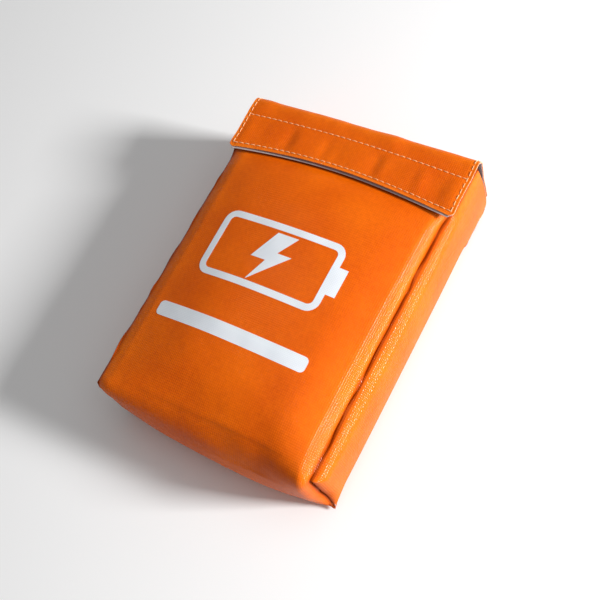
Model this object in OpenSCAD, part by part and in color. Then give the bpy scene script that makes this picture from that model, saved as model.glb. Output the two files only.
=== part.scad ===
// Fire-resistant storage pouch for lithium-polymer battery packs.
// It lies on its back: the back panel rests on z = 0, the front panel faces +Z,
// the closed bottom is at -Y and the mouth, covered by the folded flap, at +Y.

/* [Pouch] */
// Outer width of the pouch across the two side panels
bag_width = 180; // [120:1:260]
// Length over the closed flap, from the bottom panel to the top section
bag_length = 244; // [160:1:320]
// Depth from the outside of the back panel to the outside of the front panel
bag_depth = 60; // [40:1:90]
// Outer radius of the soft folds where the cloth turns from front to bottom to back
bottom_fold_radius = 8; // [6:0.5:14]
// Width of the seam allowance turned in along the side panels
seam_allowance = 8; // [6:0.5:12]

/* [Cloth] */
// Thickness of the coated glass cloth of the outer shell
shell_thickness = 0.8; // [0.5:0.1:1.2]
// Thickness of the grey lining cloth
lining_thickness = 0.6; // [0.4:0.1:1]
// Free space between the turned seam allowances and the loose lining
lining_clearance = 0.8; // [0.7:0.1:2]

/* [Flap] */
// Length of the flap's front section from the top fold to the hem
flap_drop = 46; // [40:1:70]
// Outer radius of the flap's two folds
flap_fold_radius = 8; // [7:0.5:12]
// Gap between the mouth edge and the inside of the flap
mouth_clearance = 0.7; // [0.5:0.1:3]
// Gap left where the flap's sections meet at their fold lines
fold_gap = 0.3; // [0.3:0.05:0.6]

/* [Closure] */
// Width of the hook and loop tapes
tape_width = 30; // [20:1:34]
// Distance from the flap's hem edge to the tapes
tape_inset = 1; // [0.5:0.5:4]
// Distance from each side edge to the tape ends
tape_end_inset = 6; // [4:0.5:20]
// Thickness of the woven ground of both tapes
tape_ground = 0.4; // [0.2:0.1:0.6]
// Width of the bare selvedge along both edges of a tape
tape_selvedge = 3; // [2:0.5:5]
// Distance from a tape's edge to the stitch row that holds it
tape_stitch_inset = 2; // [1:0.5:2]
// Total thickness of the hook tape
hook_thickness = 1.2; // [1:0.1:2]
// Total thickness of the loop tape
loop_thickness = 1.0; // [0.8:0.1:2]
// Gap between the hooks and the loops of the closed tapes
closure_gap = 0.3; // [0.3:0.05:0.6]

/* [Stitching] */
// Distance from one stitch to the next
stitch_pitch = 4.7; // [3:0.1:6]
// Length of thread that shows in one stitch
stitch_length = 3.6; // [2:0.1:4.5]
// Diameter of the sewing thread
thread_diameter = 0.6; // [0.4:0.05:0.65]
// Distance from a cloth edge to its row of stitches
stitch_inset = 2.5; // [2:0.5:5]

/* [Print] */
// Width of the battery symbol on the front panel, without its terminal
symbol_width = 98; // [50:1:110]
// Height of the battery symbol
symbol_height = 52; // [26:1:60]
// Width of the symbol's outline
symbol_line = 5; // [2:0.5:6]
// Height of the symbol's centre above the bottom
symbol_rise = 125; // [90:1:140]
// Width of the plain bar below the symbol
bar_width = 122; // [50:1:130]
// Height of the bar
bar_height = 11; // [4:1:14]
// Height of the bar's centre above the bottom
bar_rise = 66; // [40:1:80]
// Sideways shift of the print from the middle of the front panel
print_shift = -10; // [-12:1:12]
// Thickness of the print film
print_thickness = 0.15; // [0.1:0.05:0.3]

/* [Hidden] */
$fn = 64;

shell_orange = "darkorange";
lining_grey = "dimgray";
thread_cream = "navajowhite";
loop_grey = "slategray";
hook_grey = "gray";
print_silver = "lightsteelblue";

face_gap = 0.02; // keeps the faces of neighbouring pieces apart
half_width = bag_width / 2;
thread_radius = thread_diameter / 2;

// Places along Y, with the whole part centred
bottom_y = -(bag_length + face_gap + thread_diameter) / 2;
top_y = bottom_y + bag_length; // outer face of the flap's top section
fold_y = top_y - flap_fold_radius; // centre of both flap folds
hem_y = top_y - flap_drop;
bottom_fold_y = bottom_y + bottom_fold_radius; // centre of both bottom folds

// The flap's stack over the front panel, from the loop tape up to the shell
hook_z = bag_depth + loop_thickness + closure_gap;
flap_lining_z = hook_z + hook_thickness + face_gap;
flap_shell_z = flap_lining_z + lining_thickness;
flap_outer_z = flap_shell_z + shell_thickness;
front_fold_z = flap_outer_z - flap_fold_radius; // centre height of the flap's front fold
flap_inner_radius = flap_fold_radius - shell_thickness - lining_thickness;

// The mouth edge reaches past the fold centres until it nears the inside of the front fold
mouth_y = fold_y + sqrt(pow(flap_inner_radius - mouth_clearance, 2)
    - pow(bag_depth - front_fold_z, 2));

// The side panels lie just inside the wrap, the lining inside their seam allowances
wrap_inset = shell_thickness + face_gap;
allowance_inset = wrap_inset + shell_thickness;
lining_inset = 2 * shell_thickness + lining_clearance;
side_lining_x = half_width - shell_thickness - lining_clearance;
lining_width = 2 * (side_lining_x - lining_thickness - face_gap);

tape_length = bag_width - 2 * tape_end_inset;
tape_y = hem_y + tape_inset;
row_reach = half_width - 2 * stitch_inset; // rows across the flap stop short of its edge rows

// Turns a YZ outline into a solid centred on X
module across(width) {
    rotate([90, 0, 90]) linear_extrude(height = width, center = true) children();
}

// Turns a YZ outline into a plate that starts at x and grows towards +X
module upright(x, thickness) {
    translate([x, 0, 0]) rotate([90, 0, 90]) linear_extrude(height = thickness) children();
}

// Quarter ring about a centre, in the quadrant that the two signs name
module quarter_ring(centre, outer, inner, signs) {
    translate(centre) intersection() {
        difference() {
            circle(outer);
            circle(inner);
        }
        translate([min(signs[0], 0) * outer, min(signs[1], 0) * outer]) square(outer);
    }
}

// Rectangle from one corner to the other with round corners
module round_rectangle(low, high, r) {
    size = high - low;
    translate(low + [r, 0]) square(size - [2 * r, 0]);
    translate(low + [0, r]) square(size - [0, 2 * r]);
    for (x = [low[0] + r, high[0] - r], y = [low[1] + r, high[1] - r])
        translate([x, y]) circle(r);
}

// U of cloth round the bottom, at a given inset from the outer faces
module bottom_bend(inset, thickness) {
    r = bottom_fold_radius - inset;
    translate([bottom_y + inset, bottom_fold_radius])
        square([thickness, bag_depth - 2 * bottom_fold_radius]);
    quarter_ring([bottom_fold_y, bottom_fold_radius], r, r - thickness, [-1, -1]);
    quarter_ring([bottom_fold_y, bag_depth - bottom_fold_radius], r, r - thickness, [-1, 1]);
}

// Side outline of the pouch up to the fold centres, at a given inset
module body_outline(inset) {
    r = bottom_fold_radius - inset;
    translate([bottom_fold_y, inset])
        square([fold_y - bottom_fold_y, bag_depth - 2 * inset]);
    translate([bottom_y + inset, bottom_fold_radius])
        square([r + face_gap, bag_depth - 2 * bottom_fold_radius]);
    for (z = [bottom_fold_radius, bag_depth - bottom_fold_radius])
        translate([bottom_fold_y, z]) circle(r);
}

// End of the side outline inside the flap's folds, cut off at the mouth
module mouth_outline() {
    translate([fold_y - face_gap, flap_fold_radius])
        square([mouth_y - fold_y + face_gap, bag_depth - wrap_inset - flap_fold_radius]);
    intersection() {
        translate([fold_y, flap_fold_radius]) circle(flap_inner_radius - 2 * face_gap);
        translate([fold_y - face_gap, 0])
            square([mouth_y - fold_y + face_gap, flap_fold_radius + face_gap]);
    }
}

// Row of stitches along X on a face at height z
module stitch_row_x(reach, y, z) {
    count = floor((2 * reach - stitch_length) / stitch_pitch) + 1;
    for (i = [0 : count - 1])
        translate([(i - count / 2 + 0.5) * stitch_pitch, y, z + thread_radius])
            rotate([0, 90, 0])
                cylinder(h = stitch_length, r = thread_radius, center = true, $fn = 16);
}

// Row of stitches along Y on a face at height z
module stitch_row_y(x, low, high, z) {
    count = floor((high - low - stitch_length) / stitch_pitch) + 1;
    start = (low + high - count * stitch_pitch) / 2;
    for (i = [0 : count - 1])
        translate([x, start + (i + 0.5) * stitch_pitch, z + thread_radius])
            rotate([90, 0, 0])
                cylinder(h = stitch_length, r = thread_radius, center = true, $fn = 16);
}

module front_panel() {
    color(shell_orange) across(bag_width)
        translate([bottom_fold_y + face_gap, bag_depth - shell_thickness])
            square([mouth_y - bottom_fold_y - face_gap, shell_thickness]);
}

// The wrap turns round the bottom in two soft folds
module bottom_panel() {
    color(shell_orange) across(bag_width) bottom_bend(0, shell_thickness);
}

// The back panel ends in the fold that carries the flap
module back_panel() {
    color(shell_orange) across(bag_width) {
        translate([bottom_fold_y + face_gap, 0])
            square([fold_y - bottom_fold_y - face_gap, shell_thickness]);
        quarter_ring([fold_y, flap_fold_radius], flap_fold_radius,
            flap_fold_radius - shell_thickness, [1, -1]);
    }
}

// A plate inside the wrap's edge, with its seam allowance turned in along the wrap
module side_panel(side) {
    inner_x = half_width - shell_thickness;
    plate_x = side > 0 ? inner_x : -half_width;
    allowance_x = side > 0 ? inner_x - seam_allowance : -inner_x;
    color(shell_orange) {
        upright(plate_x, shell_thickness) {
            body_outline(wrap_inset);
            mouth_outline();
        }
        upright(allowance_x, seam_allowance) difference() {
            body_outline(wrap_inset);
            body_outline(allowance_inset);
        }
    }
}

module right_side_panel() { side_panel(1); }

module left_side_panel() { side_panel(-1); }

// A flat lining plate between the bottom folds and the mouth
module lining_plate(z) {
    color(lining_grey) across(lining_width)
        translate([bottom_fold_y + face_gap, z])
            square([fold_y - bottom_fold_y - face_gap, lining_thickness]);
}

module front_lining() { lining_plate(bag_depth - lining_inset - lining_thickness); }

module back_lining() { lining_plate(lining_inset); }

module bottom_lining() {
    color(lining_grey) across(lining_width) bottom_bend(lining_inset, lining_thickness);
}

module right_lining() {
    color(lining_grey) upright(side_lining_x - lining_thickness, lining_thickness)
        body_outline(lining_inset);
}

module left_lining() {
    color(lining_grey) upright(-side_lining_x, lining_thickness) body_outline(lining_inset);
}

// The flap's lining starts inside the fold at the end of the back panel
module flap_root_lining() {
    color(lining_grey) across(bag_width)
        quarter_ring([fold_y, flap_fold_radius],
            flap_fold_radius - shell_thickness - face_gap, flap_inner_radius, [1, -1]);
}

// Woven ground on a face, with the pile between its selvedges
module loop_tape() {
    pile_y = tape_y + tape_selvedge;
    color(loop_grey) translate([-tape_length / 2, 0, bag_depth + face_gap]) {
        translate([0, tape_y, 0]) cube([tape_length, tape_width, tape_ground]);
        translate([0, pile_y, 0])
            cube([tape_length, tape_width - 2 * tape_selvedge, loop_thickness - face_gap]);
    }
}

module loop_tape_stitches() {
    z = bag_depth + 2 * face_gap + tape_ground;
    color(thread_cream)
        for (y = [tape_y + tape_stitch_inset, tape_y + tape_width - tape_stitch_inset])
            stitch_row_x(tape_length / 2, y, z);
}

// The hidden side seams run through the turned allowances, front and back
module seam_stitches(side) {
    x = side * (half_width - shell_thickness - stitch_inset);
    inset = allowance_inset + face_gap;
    color(thread_cream) for (z = [inset, bag_depth - inset - thread_diameter])
        stitch_row_y(x, bottom_fold_y, fold_y, z);
}

module right_seam_stitches() { seam_stitches(1); }

module left_seam_stitches() { seam_stitches(-1); }

// A printed battery outline with a bolt, and a plain bar below it
module front_print() {
    half = [symbol_width, symbol_height] / 2;
    line = [symbol_line, symbol_line];
    terminal = [0.13, 0.4] * symbol_height;
    bolt = [[-0.06, 0.36], [0.26, 0.36], [0.08, 0.08], [0.3, 0.08],
        [-0.16, -0.38], [-0.03, -0.06], [-0.26, -0.06]];
    bar = [bar_width, bar_height] / 2;
    color(print_silver) translate([print_shift, bottom_y, bag_depth])
        linear_extrude(height = print_thickness) {
            translate([0, symbol_rise]) {
                difference() {
                    round_rectangle(-half, half, symbol_line * 1.8);
                    round_rectangle(line - half, half - line, symbol_line * 0.8);
                }
                translate([half[0] - face_gap, -terminal[1] / 2]) square(terminal);
                polygon(bolt * symbol_height);
            }
            translate([0, bar_rise]) round_rectangle(-bar, bar, bar_height * 0.3);
        }
}

// The flap's top section closes the mouth and carries the front fold
module flap_top_shell() {
    low = flap_fold_radius + fold_gap;
    color(shell_orange) across(bag_width) {
        translate([top_y - shell_thickness, low]) square([shell_thickness, front_fold_z - low]);
        quarter_ring([fold_y, front_fold_z], flap_fold_radius,
            flap_fold_radius - shell_thickness, [1, 1]);
    }
}

module flap_top_lining() {
    low = flap_fold_radius + fold_gap;
    outer = flap_fold_radius - shell_thickness - face_gap;
    color(lining_grey) across(bag_width) {
        translate([fold_y + flap_inner_radius, low])
            square([outer - flap_inner_radius, front_fold_z - low]);
        quarter_ring([fold_y, front_fold_z], outer, flap_inner_radius, [1, 1]);
    }
}

// Edge stitching up both sides of the top section, on its outer face
module flap_top_edge_stitches() {
    low = flap_fold_radius + fold_gap;
    count = floor((front_fold_z - low - stitch_length) / stitch_pitch) + 1;
    start = (low + front_fold_z - count * stitch_pitch) / 2;
    color(thread_cream) for (side = [-1, 1], i = [0 : count - 1])
        translate([side * (half_width - stitch_inset), top_y + face_gap + thread_radius,
                start + (i + 0.5) * stitch_pitch])
            cylinder(h = stitch_length, r = thread_radius, center = true, $fn = 16);
}

module flap_front_shell() {
    color(shell_orange) across(bag_width) translate([hem_y, flap_shell_z])
        square([fold_y - fold_gap - hem_y, shell_thickness]);
}

module flap_front_lining() {
    color(lining_grey) across(bag_width) translate([hem_y, flap_lining_z])
        square([fold_y - fold_gap - hem_y, lining_thickness - face_gap]);
}

// Sewn under the flap, hooks downwards
module hook_tape() {
    pile_y = tape_y + tape_selvedge;
    color(hook_grey) translate([-tape_length / 2, 0, hook_z]) {
        translate([0, tape_y, hook_thickness - tape_ground])
            cube([tape_length, tape_width, tape_ground]);
        translate([0, pile_y, 0])
            cube([tape_length, tape_width - 2 * tape_selvedge, hook_thickness]);
    }
}

// The row along the hem also holds the hook tape's lower edge
module flap_hem_stitches() {
    color(thread_cream)
        stitch_row_x(row_reach, tape_y + tape_stitch_inset, flap_outer_z + face_gap);
}

// The row across the middle of the flap holds the hook tape's upper edge
module hook_tape_stitches() {
    color(thread_cream)
        stitch_row_x(row_reach, tape_y + tape_width - tape_stitch_inset,
            flap_outer_z + face_gap);
}

module flap_front_edge_stitches() {
    color(thread_cream) for (side = [-1, 1])
        stitch_row_y(side * (half_width - stitch_inset), hem_y + stitch_inset,
            fold_y - fold_gap, flap_outer_z + face_gap);
}

front_panel();
bottom_panel();
back_panel();
right_side_panel();
left_side_panel();
front_lining();
bottom_lining();
back_lining();
right_lining();
left_lining();
flap_root_lining();
loop_tape();
loop_tape_stitches();
right_seam_stitches();
left_seam_stitches();
front_print();
flap_top_shell();
flap_top_lining();
flap_top_edge_stitches();
flap_front_shell();
flap_front_lining();
hook_tape();
flap_hem_stitches();
hook_tape_stitches();
flap_front_edge_stitches();
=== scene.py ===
"""Looks of a soft fire-resistant pouch for lithium battery packs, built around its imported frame.

The pouch lies on its back. +X is its right side, +Y runs from the bottom to the mouth and +Z
points out of the front panel. Every length is in metres.
"""

import logging
import math
from dataclasses import dataclass, field, replace
from enum import Enum

import bpy
import numpy as np
from mathutils import Matrix, Vector
from mathutils.bvhtree import BVHTree


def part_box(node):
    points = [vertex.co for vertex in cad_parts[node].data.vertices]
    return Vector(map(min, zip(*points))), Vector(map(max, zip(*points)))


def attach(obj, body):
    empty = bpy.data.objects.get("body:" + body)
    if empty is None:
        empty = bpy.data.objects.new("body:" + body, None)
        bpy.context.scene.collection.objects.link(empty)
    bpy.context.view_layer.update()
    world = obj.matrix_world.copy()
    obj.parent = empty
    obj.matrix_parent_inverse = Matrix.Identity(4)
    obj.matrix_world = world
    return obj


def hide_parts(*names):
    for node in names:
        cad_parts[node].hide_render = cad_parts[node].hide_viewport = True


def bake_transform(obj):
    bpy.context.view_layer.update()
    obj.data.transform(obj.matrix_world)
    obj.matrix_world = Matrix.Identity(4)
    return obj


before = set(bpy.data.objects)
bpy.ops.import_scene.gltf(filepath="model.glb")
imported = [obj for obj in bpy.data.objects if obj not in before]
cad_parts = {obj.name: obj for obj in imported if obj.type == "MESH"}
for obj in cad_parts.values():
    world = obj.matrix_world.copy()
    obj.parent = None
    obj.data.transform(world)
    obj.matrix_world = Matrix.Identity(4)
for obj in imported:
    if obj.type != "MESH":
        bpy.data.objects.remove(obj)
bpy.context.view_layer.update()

log = logging.getLogger("pouch")
MM = 0.001


class Side(Enum):
    """Left or right side of the pouch, as the sign of X."""

    LEFT = -1
    RIGHT = 1


# ---------------------------------------------------------------------------
# Sizes
# ---------------------------------------------------------------------------


@dataclass(frozen=True)
class PouchSize:
    """Places of the pouch's cloth, worked out from the frame's nodes."""

    half_width: float
    depth: float
    bottom_y: float
    mouth_y: float
    fold_y: float
    top_y: float
    hem_y: float
    fold_radius: float
    flap_z: float
    shell: float
    lining: float

    @classmethod
    def from_frame(cls) -> "PouchSize":
        """Reads the sizes from the boxes of the CAD nodes.

        Returns:
            The sizes of the pouch at rest, with its flap closed.
        """
        _, front_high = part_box("front_panel")
        bottom_low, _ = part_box("bottom_panel")
        _, top_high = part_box("flap_top_shell")
        flap_low, flap_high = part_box("flap_front_shell")
        lining_low, lining_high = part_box("flap_front_lining")
        _, back_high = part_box("back_panel")
        fold_radius = back_high[2]
        return cls(
            half_width=front_high[0],
            depth=front_high[2],
            bottom_y=bottom_low[1],
            mouth_y=front_high[1],
            fold_y=back_high[1] - fold_radius,
            top_y=top_high[1],
            hem_y=flap_low[1],
            fold_radius=fold_radius,
            flap_z=flap_high[2],
            shell=flap_high[2] - flap_low[2],
            lining=lining_high[2] - lining_low[2],
        )


# ---------------------------------------------------------------------------
# Small helpers for grids of points and meshes
# ---------------------------------------------------------------------------


def smoothstep(t: np.ndarray) -> np.ndarray:
    """Smooth rise from 0 to 1 as t goes from 0 to 1."""
    t = np.clip(t, 0.0, 1.0)
    return t * t * (3.0 - 2.0 * t)


def ramp(x: np.ndarray, start: float, run: float) -> np.ndarray:
    """Smooth rise from 0 at start to 1 a run further on."""
    return smoothstep((x - start) / run)


def bump_at(x: np.ndarray, centre: float, spread: float) -> np.ndarray:
    """Bell of height 1 round centre."""
    return np.exp(-(((x - centre) / spread) ** 2))


def wander(x: np.ndarray, length: float, seed: int, octaves: int = 3) -> np.ndarray:
    """Smooth irregular wave of about -1 to 1.

    Args:
        x: Places along the wave.
        length: Length of its longest swing.
        seed: Which wave, so that no two edges are alike.
        octaves: How many finer waves are added.

    Returns:
        The wave's value at each place.
    """
    rng = np.random.default_rng(seed)
    total = np.zeros_like(np.asarray(x, float))
    for octave in range(octaves):
        phase = rng.uniform(0.0, 2.0 * math.pi, 2)
        scale = 1.7**octave
        total += np.sin(2.0 * math.pi * x * scale / length + phase[0]) / scale
        total += 0.6 * np.sin(2.0 * math.pi * x * scale * 1.37 / length + phase[1]) / scale
    return total / 2.4


@dataclass(frozen=True)
class Ripple:
    """Irregular swelling of cloth: a mean height and a slow wave about it."""

    mean: float
    swing: float
    length: float
    seed: int

    def at(self, x: np.ndarray) -> np.ndarray:
        """Height of the cloth at each place."""
        return self.mean + self.swing * wander(x, self.length, self.seed)


def refine(grid: np.ndarray, axis: int) -> np.ndarray:
    """Puts a new row halfway between each two rows, on the smooth curve through them.

    Args:
        grid: Points or values on a grid.
        axis: The axis that gets the new rows.

    Returns:
        The finer grid, with the old rows unchanged.
    """
    g = np.moveaxis(grid, axis, 0)
    before = 2.0 * g[:1] - g[1:2]
    after = 2.0 * g[-1:] - g[-2:-1]
    padded = np.concatenate([before, g, after])
    middle = (9.0 * (padded[1:-2] + padded[2:-1]) - padded[:-3] - padded[3:]) / 16.0
    out = np.empty((2 * len(g) - 1,) + g.shape[1:])
    out[0::2] = g
    out[1::2] = middle
    return np.moveaxis(out, 0, axis)


def grid_normals(points: np.ndarray, inside: np.ndarray) -> np.ndarray:
    """Unit normals of a grid of points, away from a point inside the pouch."""
    along_rows = np.gradient(points, axis=0)
    along_columns = np.gradient(points, axis=1)
    normals = np.cross(along_rows, along_columns)
    normals /= np.maximum(np.linalg.norm(normals, axis=2, keepdims=True), 1e-12)
    if (normals * (points - inside)).sum() < 0.0:
        normals = -normals
    return normals


def new_mesh(name: str, points: np.ndarray, faces: list) -> bpy.types.Object:
    """Makes a mesh object at the origin from points and faces."""
    mesh = bpy.data.meshes.new(name)
    mesh.from_pydata(points.reshape(-1, 3).tolist(), [], faces)
    mesh.validate()
    obj = bpy.data.objects.new(name, mesh)
    bpy.context.scene.collection.objects.link(obj)
    return obj


@dataclass
class ClothSheet:
    """A sheet of cloth given by a grid of points on its outer face."""

    points: np.ndarray
    pattern: np.ndarray
    thickness: float
    wear: np.ndarray | None = None

    def build(
        self, name: str, inside: np.ndarray, materials: list, sharp: float = 55.0
    ) -> bpy.types.Object:
        """Makes the closed mesh: outer face, inner face and the cut edge all round.

        Args:
            name: Name of the piece.
            inside: A point on the inner side of the sheet.
            materials: Finish of the outer face, the inner face and the cut edge.
            sharp: Angle in degrees over which an edge is drawn sharp.

        Returns:
            The new object, with the cloth's flat pattern as its UV map.
        """
        rows, columns = self.points.shape[:2]
        normals = grid_normals(self.points, inside)
        inner = self.points - normals * self.thickness
        inner[:, :, 2] = np.maximum(inner[:, :, 2], 0.0)
        points = np.concatenate([self.points.reshape(-1, 3), inner.reshape(-1, 3)])
        index = np.arange(rows * columns).reshape(rows, columns)
        a, b, c, d = index[:-1, :-1], index[:-1, 1:], index[1:, 1:], index[1:, :-1]
        quads = np.stack([a, b, c, d], axis=-1).reshape(-1, 4)
        first = points[quads[0]]
        facing = np.cross(first[1] - first[0], first[2] - first[1])
        if (facing * normals[0, 0]).sum() < 0.0:
            quads = quads[:, ::-1]
        offset = rows * columns
        loop = np.concatenate(
            [index[0, :-1], index[:-1, -1], index[-1, :0:-1], index[:0:-1, 0]]
        )
        ahead = np.roll(loop, -1)
        rim = np.stack([loop, ahead, ahead + offset, loop + offset], axis=-1)
        outer_edges = {(int(q[i]), int(q[(i + 1) % 4])) for q in quads for i in range(4)}
        if (int(rim[0, 0]), int(rim[0, 1])) in outer_edges:
            rim = rim[:, ::-1]
        faces = np.concatenate([quads, quads[:, ::-1] + offset, rim])
        obj = new_mesh(name, points, faces.tolist())
        mesh = obj.data
        slots = np.concatenate(
            [np.zeros(len(quads)), np.ones(len(quads)), np.full(len(rim), 2)]
        ).astype(np.int32)
        for material in materials:
            mesh.materials.append(material)
        mesh.polygons.foreach_set("material_index", slots)
        mesh.polygons.foreach_set("use_smooth", np.ones(len(faces), bool))
        uv = mesh.uv_layers.new(name="pattern")
        flat = np.concatenate([self.pattern.reshape(-1, 2)] * 2)
        corners = np.empty(len(mesh.loops), np.int32)
        mesh.loops.foreach_get("vertex_index", corners)
        uv.data.foreach_set("uv", flat[corners].astype(np.float32).ravel())
        # Per-point tone beside seams and edges: rubbed wear with a painted highlight where
        # positive, painted shade in the creases where negative.
        wear = np.zeros((rows, columns)) if self.wear is None else self.wear
        attribute = mesh.attributes.new("wear", "FLOAT", "POINT")
        attribute.data.foreach_set("value", np.tile(wear.ravel(), 2).astype(np.float32))
        mesh.set_sharp_from_angle(angle=math.radians(sharp))
        return obj


# ---------------------------------------------------------------------------
# Finishes
# ---------------------------------------------------------------------------


class NodeSheet:
    """Short calls for building a material's nodes."""

    def __init__(self, name: str) -> None:
        """Starts an empty node material with its output and one shader."""
        self.material = bpy.data.materials.new(name)
        self.material.use_nodes = True
        self.tree = self.material.node_tree
        self.tree.nodes.clear()
        output = self.add("ShaderNodeOutputMaterial")
        self.shader = self.add("ShaderNodeBsdfPrincipled")
        self.link(self.shader.outputs[0], output.inputs["Surface"])

    def add(self, kind: str, **settings: object) -> bpy.types.Node:
        """Adds a node and sets its own properties."""
        node = self.tree.nodes.new(kind)
        for key, value in settings.items():
            setattr(node, key, value)
        return node

    def link(self, out: bpy.types.NodeSocket, into: bpy.types.NodeSocket) -> None:
        """Joins two sockets."""
        self.tree.links.new(out, into)

    def math(self, operation: str, *values: object) -> bpy.types.NodeSocket:
        """Adds a Math node fed by sockets or numbers, and returns its result."""
        node = self.add("ShaderNodeMath", operation=operation)
        for i, value in enumerate(values):
            if isinstance(value, bpy.types.NodeSocket):
                self.link(value, node.inputs[i])
            else:
                node.inputs[i].default_value = value
        return node.outputs[0]

    def noise(
        self, vector: bpy.types.NodeSocket, scale: float, detail: float = 3.0
    ) -> bpy.types.NodeSocket:
        """Adds a noise texture and returns its value."""
        node = self.add("ShaderNodeTexNoise")
        node.inputs["Scale"].default_value = scale
        node.inputs["Detail"].default_value = detail
        self.link(vector, node.inputs["Vector"])
        return node.outputs["Fac"]

    def blend_colours(
        self, factor: bpy.types.NodeSocket, stops: list
    ) -> bpy.types.NodeSocket:
        """Adds a colour ramp with the given (place, colour) stops."""
        ramp = self.add("ShaderNodeValToRGB")
        while len(ramp.color_ramp.elements) < len(stops):
            ramp.color_ramp.elements.new(0.5)
        for element, (place, colour) in zip(ramp.color_ramp.elements, stops):
            element.position = place
            element.color = (*colour, 1.0)
        self.link(factor, ramp.inputs["Fac"])
        return ramp.outputs["Color"]

    def bump(
        self,
        height: bpy.types.NodeSocket,
        distance: float,
        strength: float = 1.0,
        base: bpy.types.NodeSocket | None = None,
    ) -> bpy.types.NodeSocket:
        """Adds a bump of the given depth, on top of another one if given."""
        node = self.add("ShaderNodeBump")
        node.inputs["Distance"].default_value = distance
        node.inputs["Strength"].default_value = strength
        self.link(height, node.inputs["Height"])
        if base is not None:
            self.link(base, node.inputs["Normal"])
        return node.outputs["Normal"]

    def plain_weave(
        self, u: bpy.types.NodeSocket, v: bpy.types.NodeSocket, pitch: float
    ) -> bpy.types.NodeSocket:
        """Height of a plain weave, from 0 in the gaps to 1 on the yarns.

        Args:
            u: Place across the cloth, in metres.
            v: Place along the cloth, in metres.
            pitch: Distance between neighbouring yarns.

        Returns:
            The height of the weave at that place.
        """
        across = self.math("DIVIDE", u, pitch)
        along = self.math("DIVIDE", v, pitch)
        cells = self.math("ADD", self.math("FLOOR", across), self.math("FLOOR", along))
        weft_on_top = self.math("MODULO", self.math("ABSOLUTE", cells), 2.0)
        ridge_u = self.math("ABSOLUTE", self.math("SINE", self.math("MULTIPLY", across, math.pi)))
        ridge_v = self.math("ABSOLUTE", self.math("SINE", self.math("MULTIPLY", along, math.pi)))
        warp = self.math("MULTIPLY", ridge_u, self.math("MULTIPLY_ADD", ridge_v, 0.6, 0.4))
        weft = self.math("MULTIPLY", ridge_v, self.math("MULTIPLY_ADD", ridge_u, 0.6, 0.4))
        mix = self.add("ShaderNodeMix", data_type="FLOAT")
        self.link(weft_on_top, mix.inputs[0])
        self.link(warp, mix.inputs[2])
        self.link(weft, mix.inputs[3])
        return mix.outputs[0]

    def space(self) -> bpy.types.NodeSocket:
        """Returns the place in the piece's own space."""
        return self.add("ShaderNodeTexCoord").outputs["Object"]

    def cloth_place(self) -> tuple:
        """Returns the place on the cloth's flat pattern (u, v) and in space."""
        pattern = self.add("ShaderNodeUVMap", uv_map="pattern")
        split = self.add("ShaderNodeSeparateXYZ")
        self.link(pattern.outputs["UV"], split.inputs[0])
        return split.outputs["X"], split.outputs["Y"], self.space()

    def dress(
        self,
        colour: bpy.types.NodeSocket,
        rough: bpy.types.NodeSocket,
        relief: bpy.types.NodeSocket,
    ) -> None:
        """Feeds the shader its colour, roughness and normal."""
        self.link(colour, self.shader.inputs["Base Color"])
        self.link(rough, self.shader.inputs["Roughness"])
        self.link(relief, self.shader.inputs["Normal"])

    def set(self, **values: object) -> None:
        """Sets the shader's own sockets, written with _ for spaces."""
        for key, value in values.items():
            self.shader.inputs[key.replace("_", " ")].default_value = value


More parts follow.
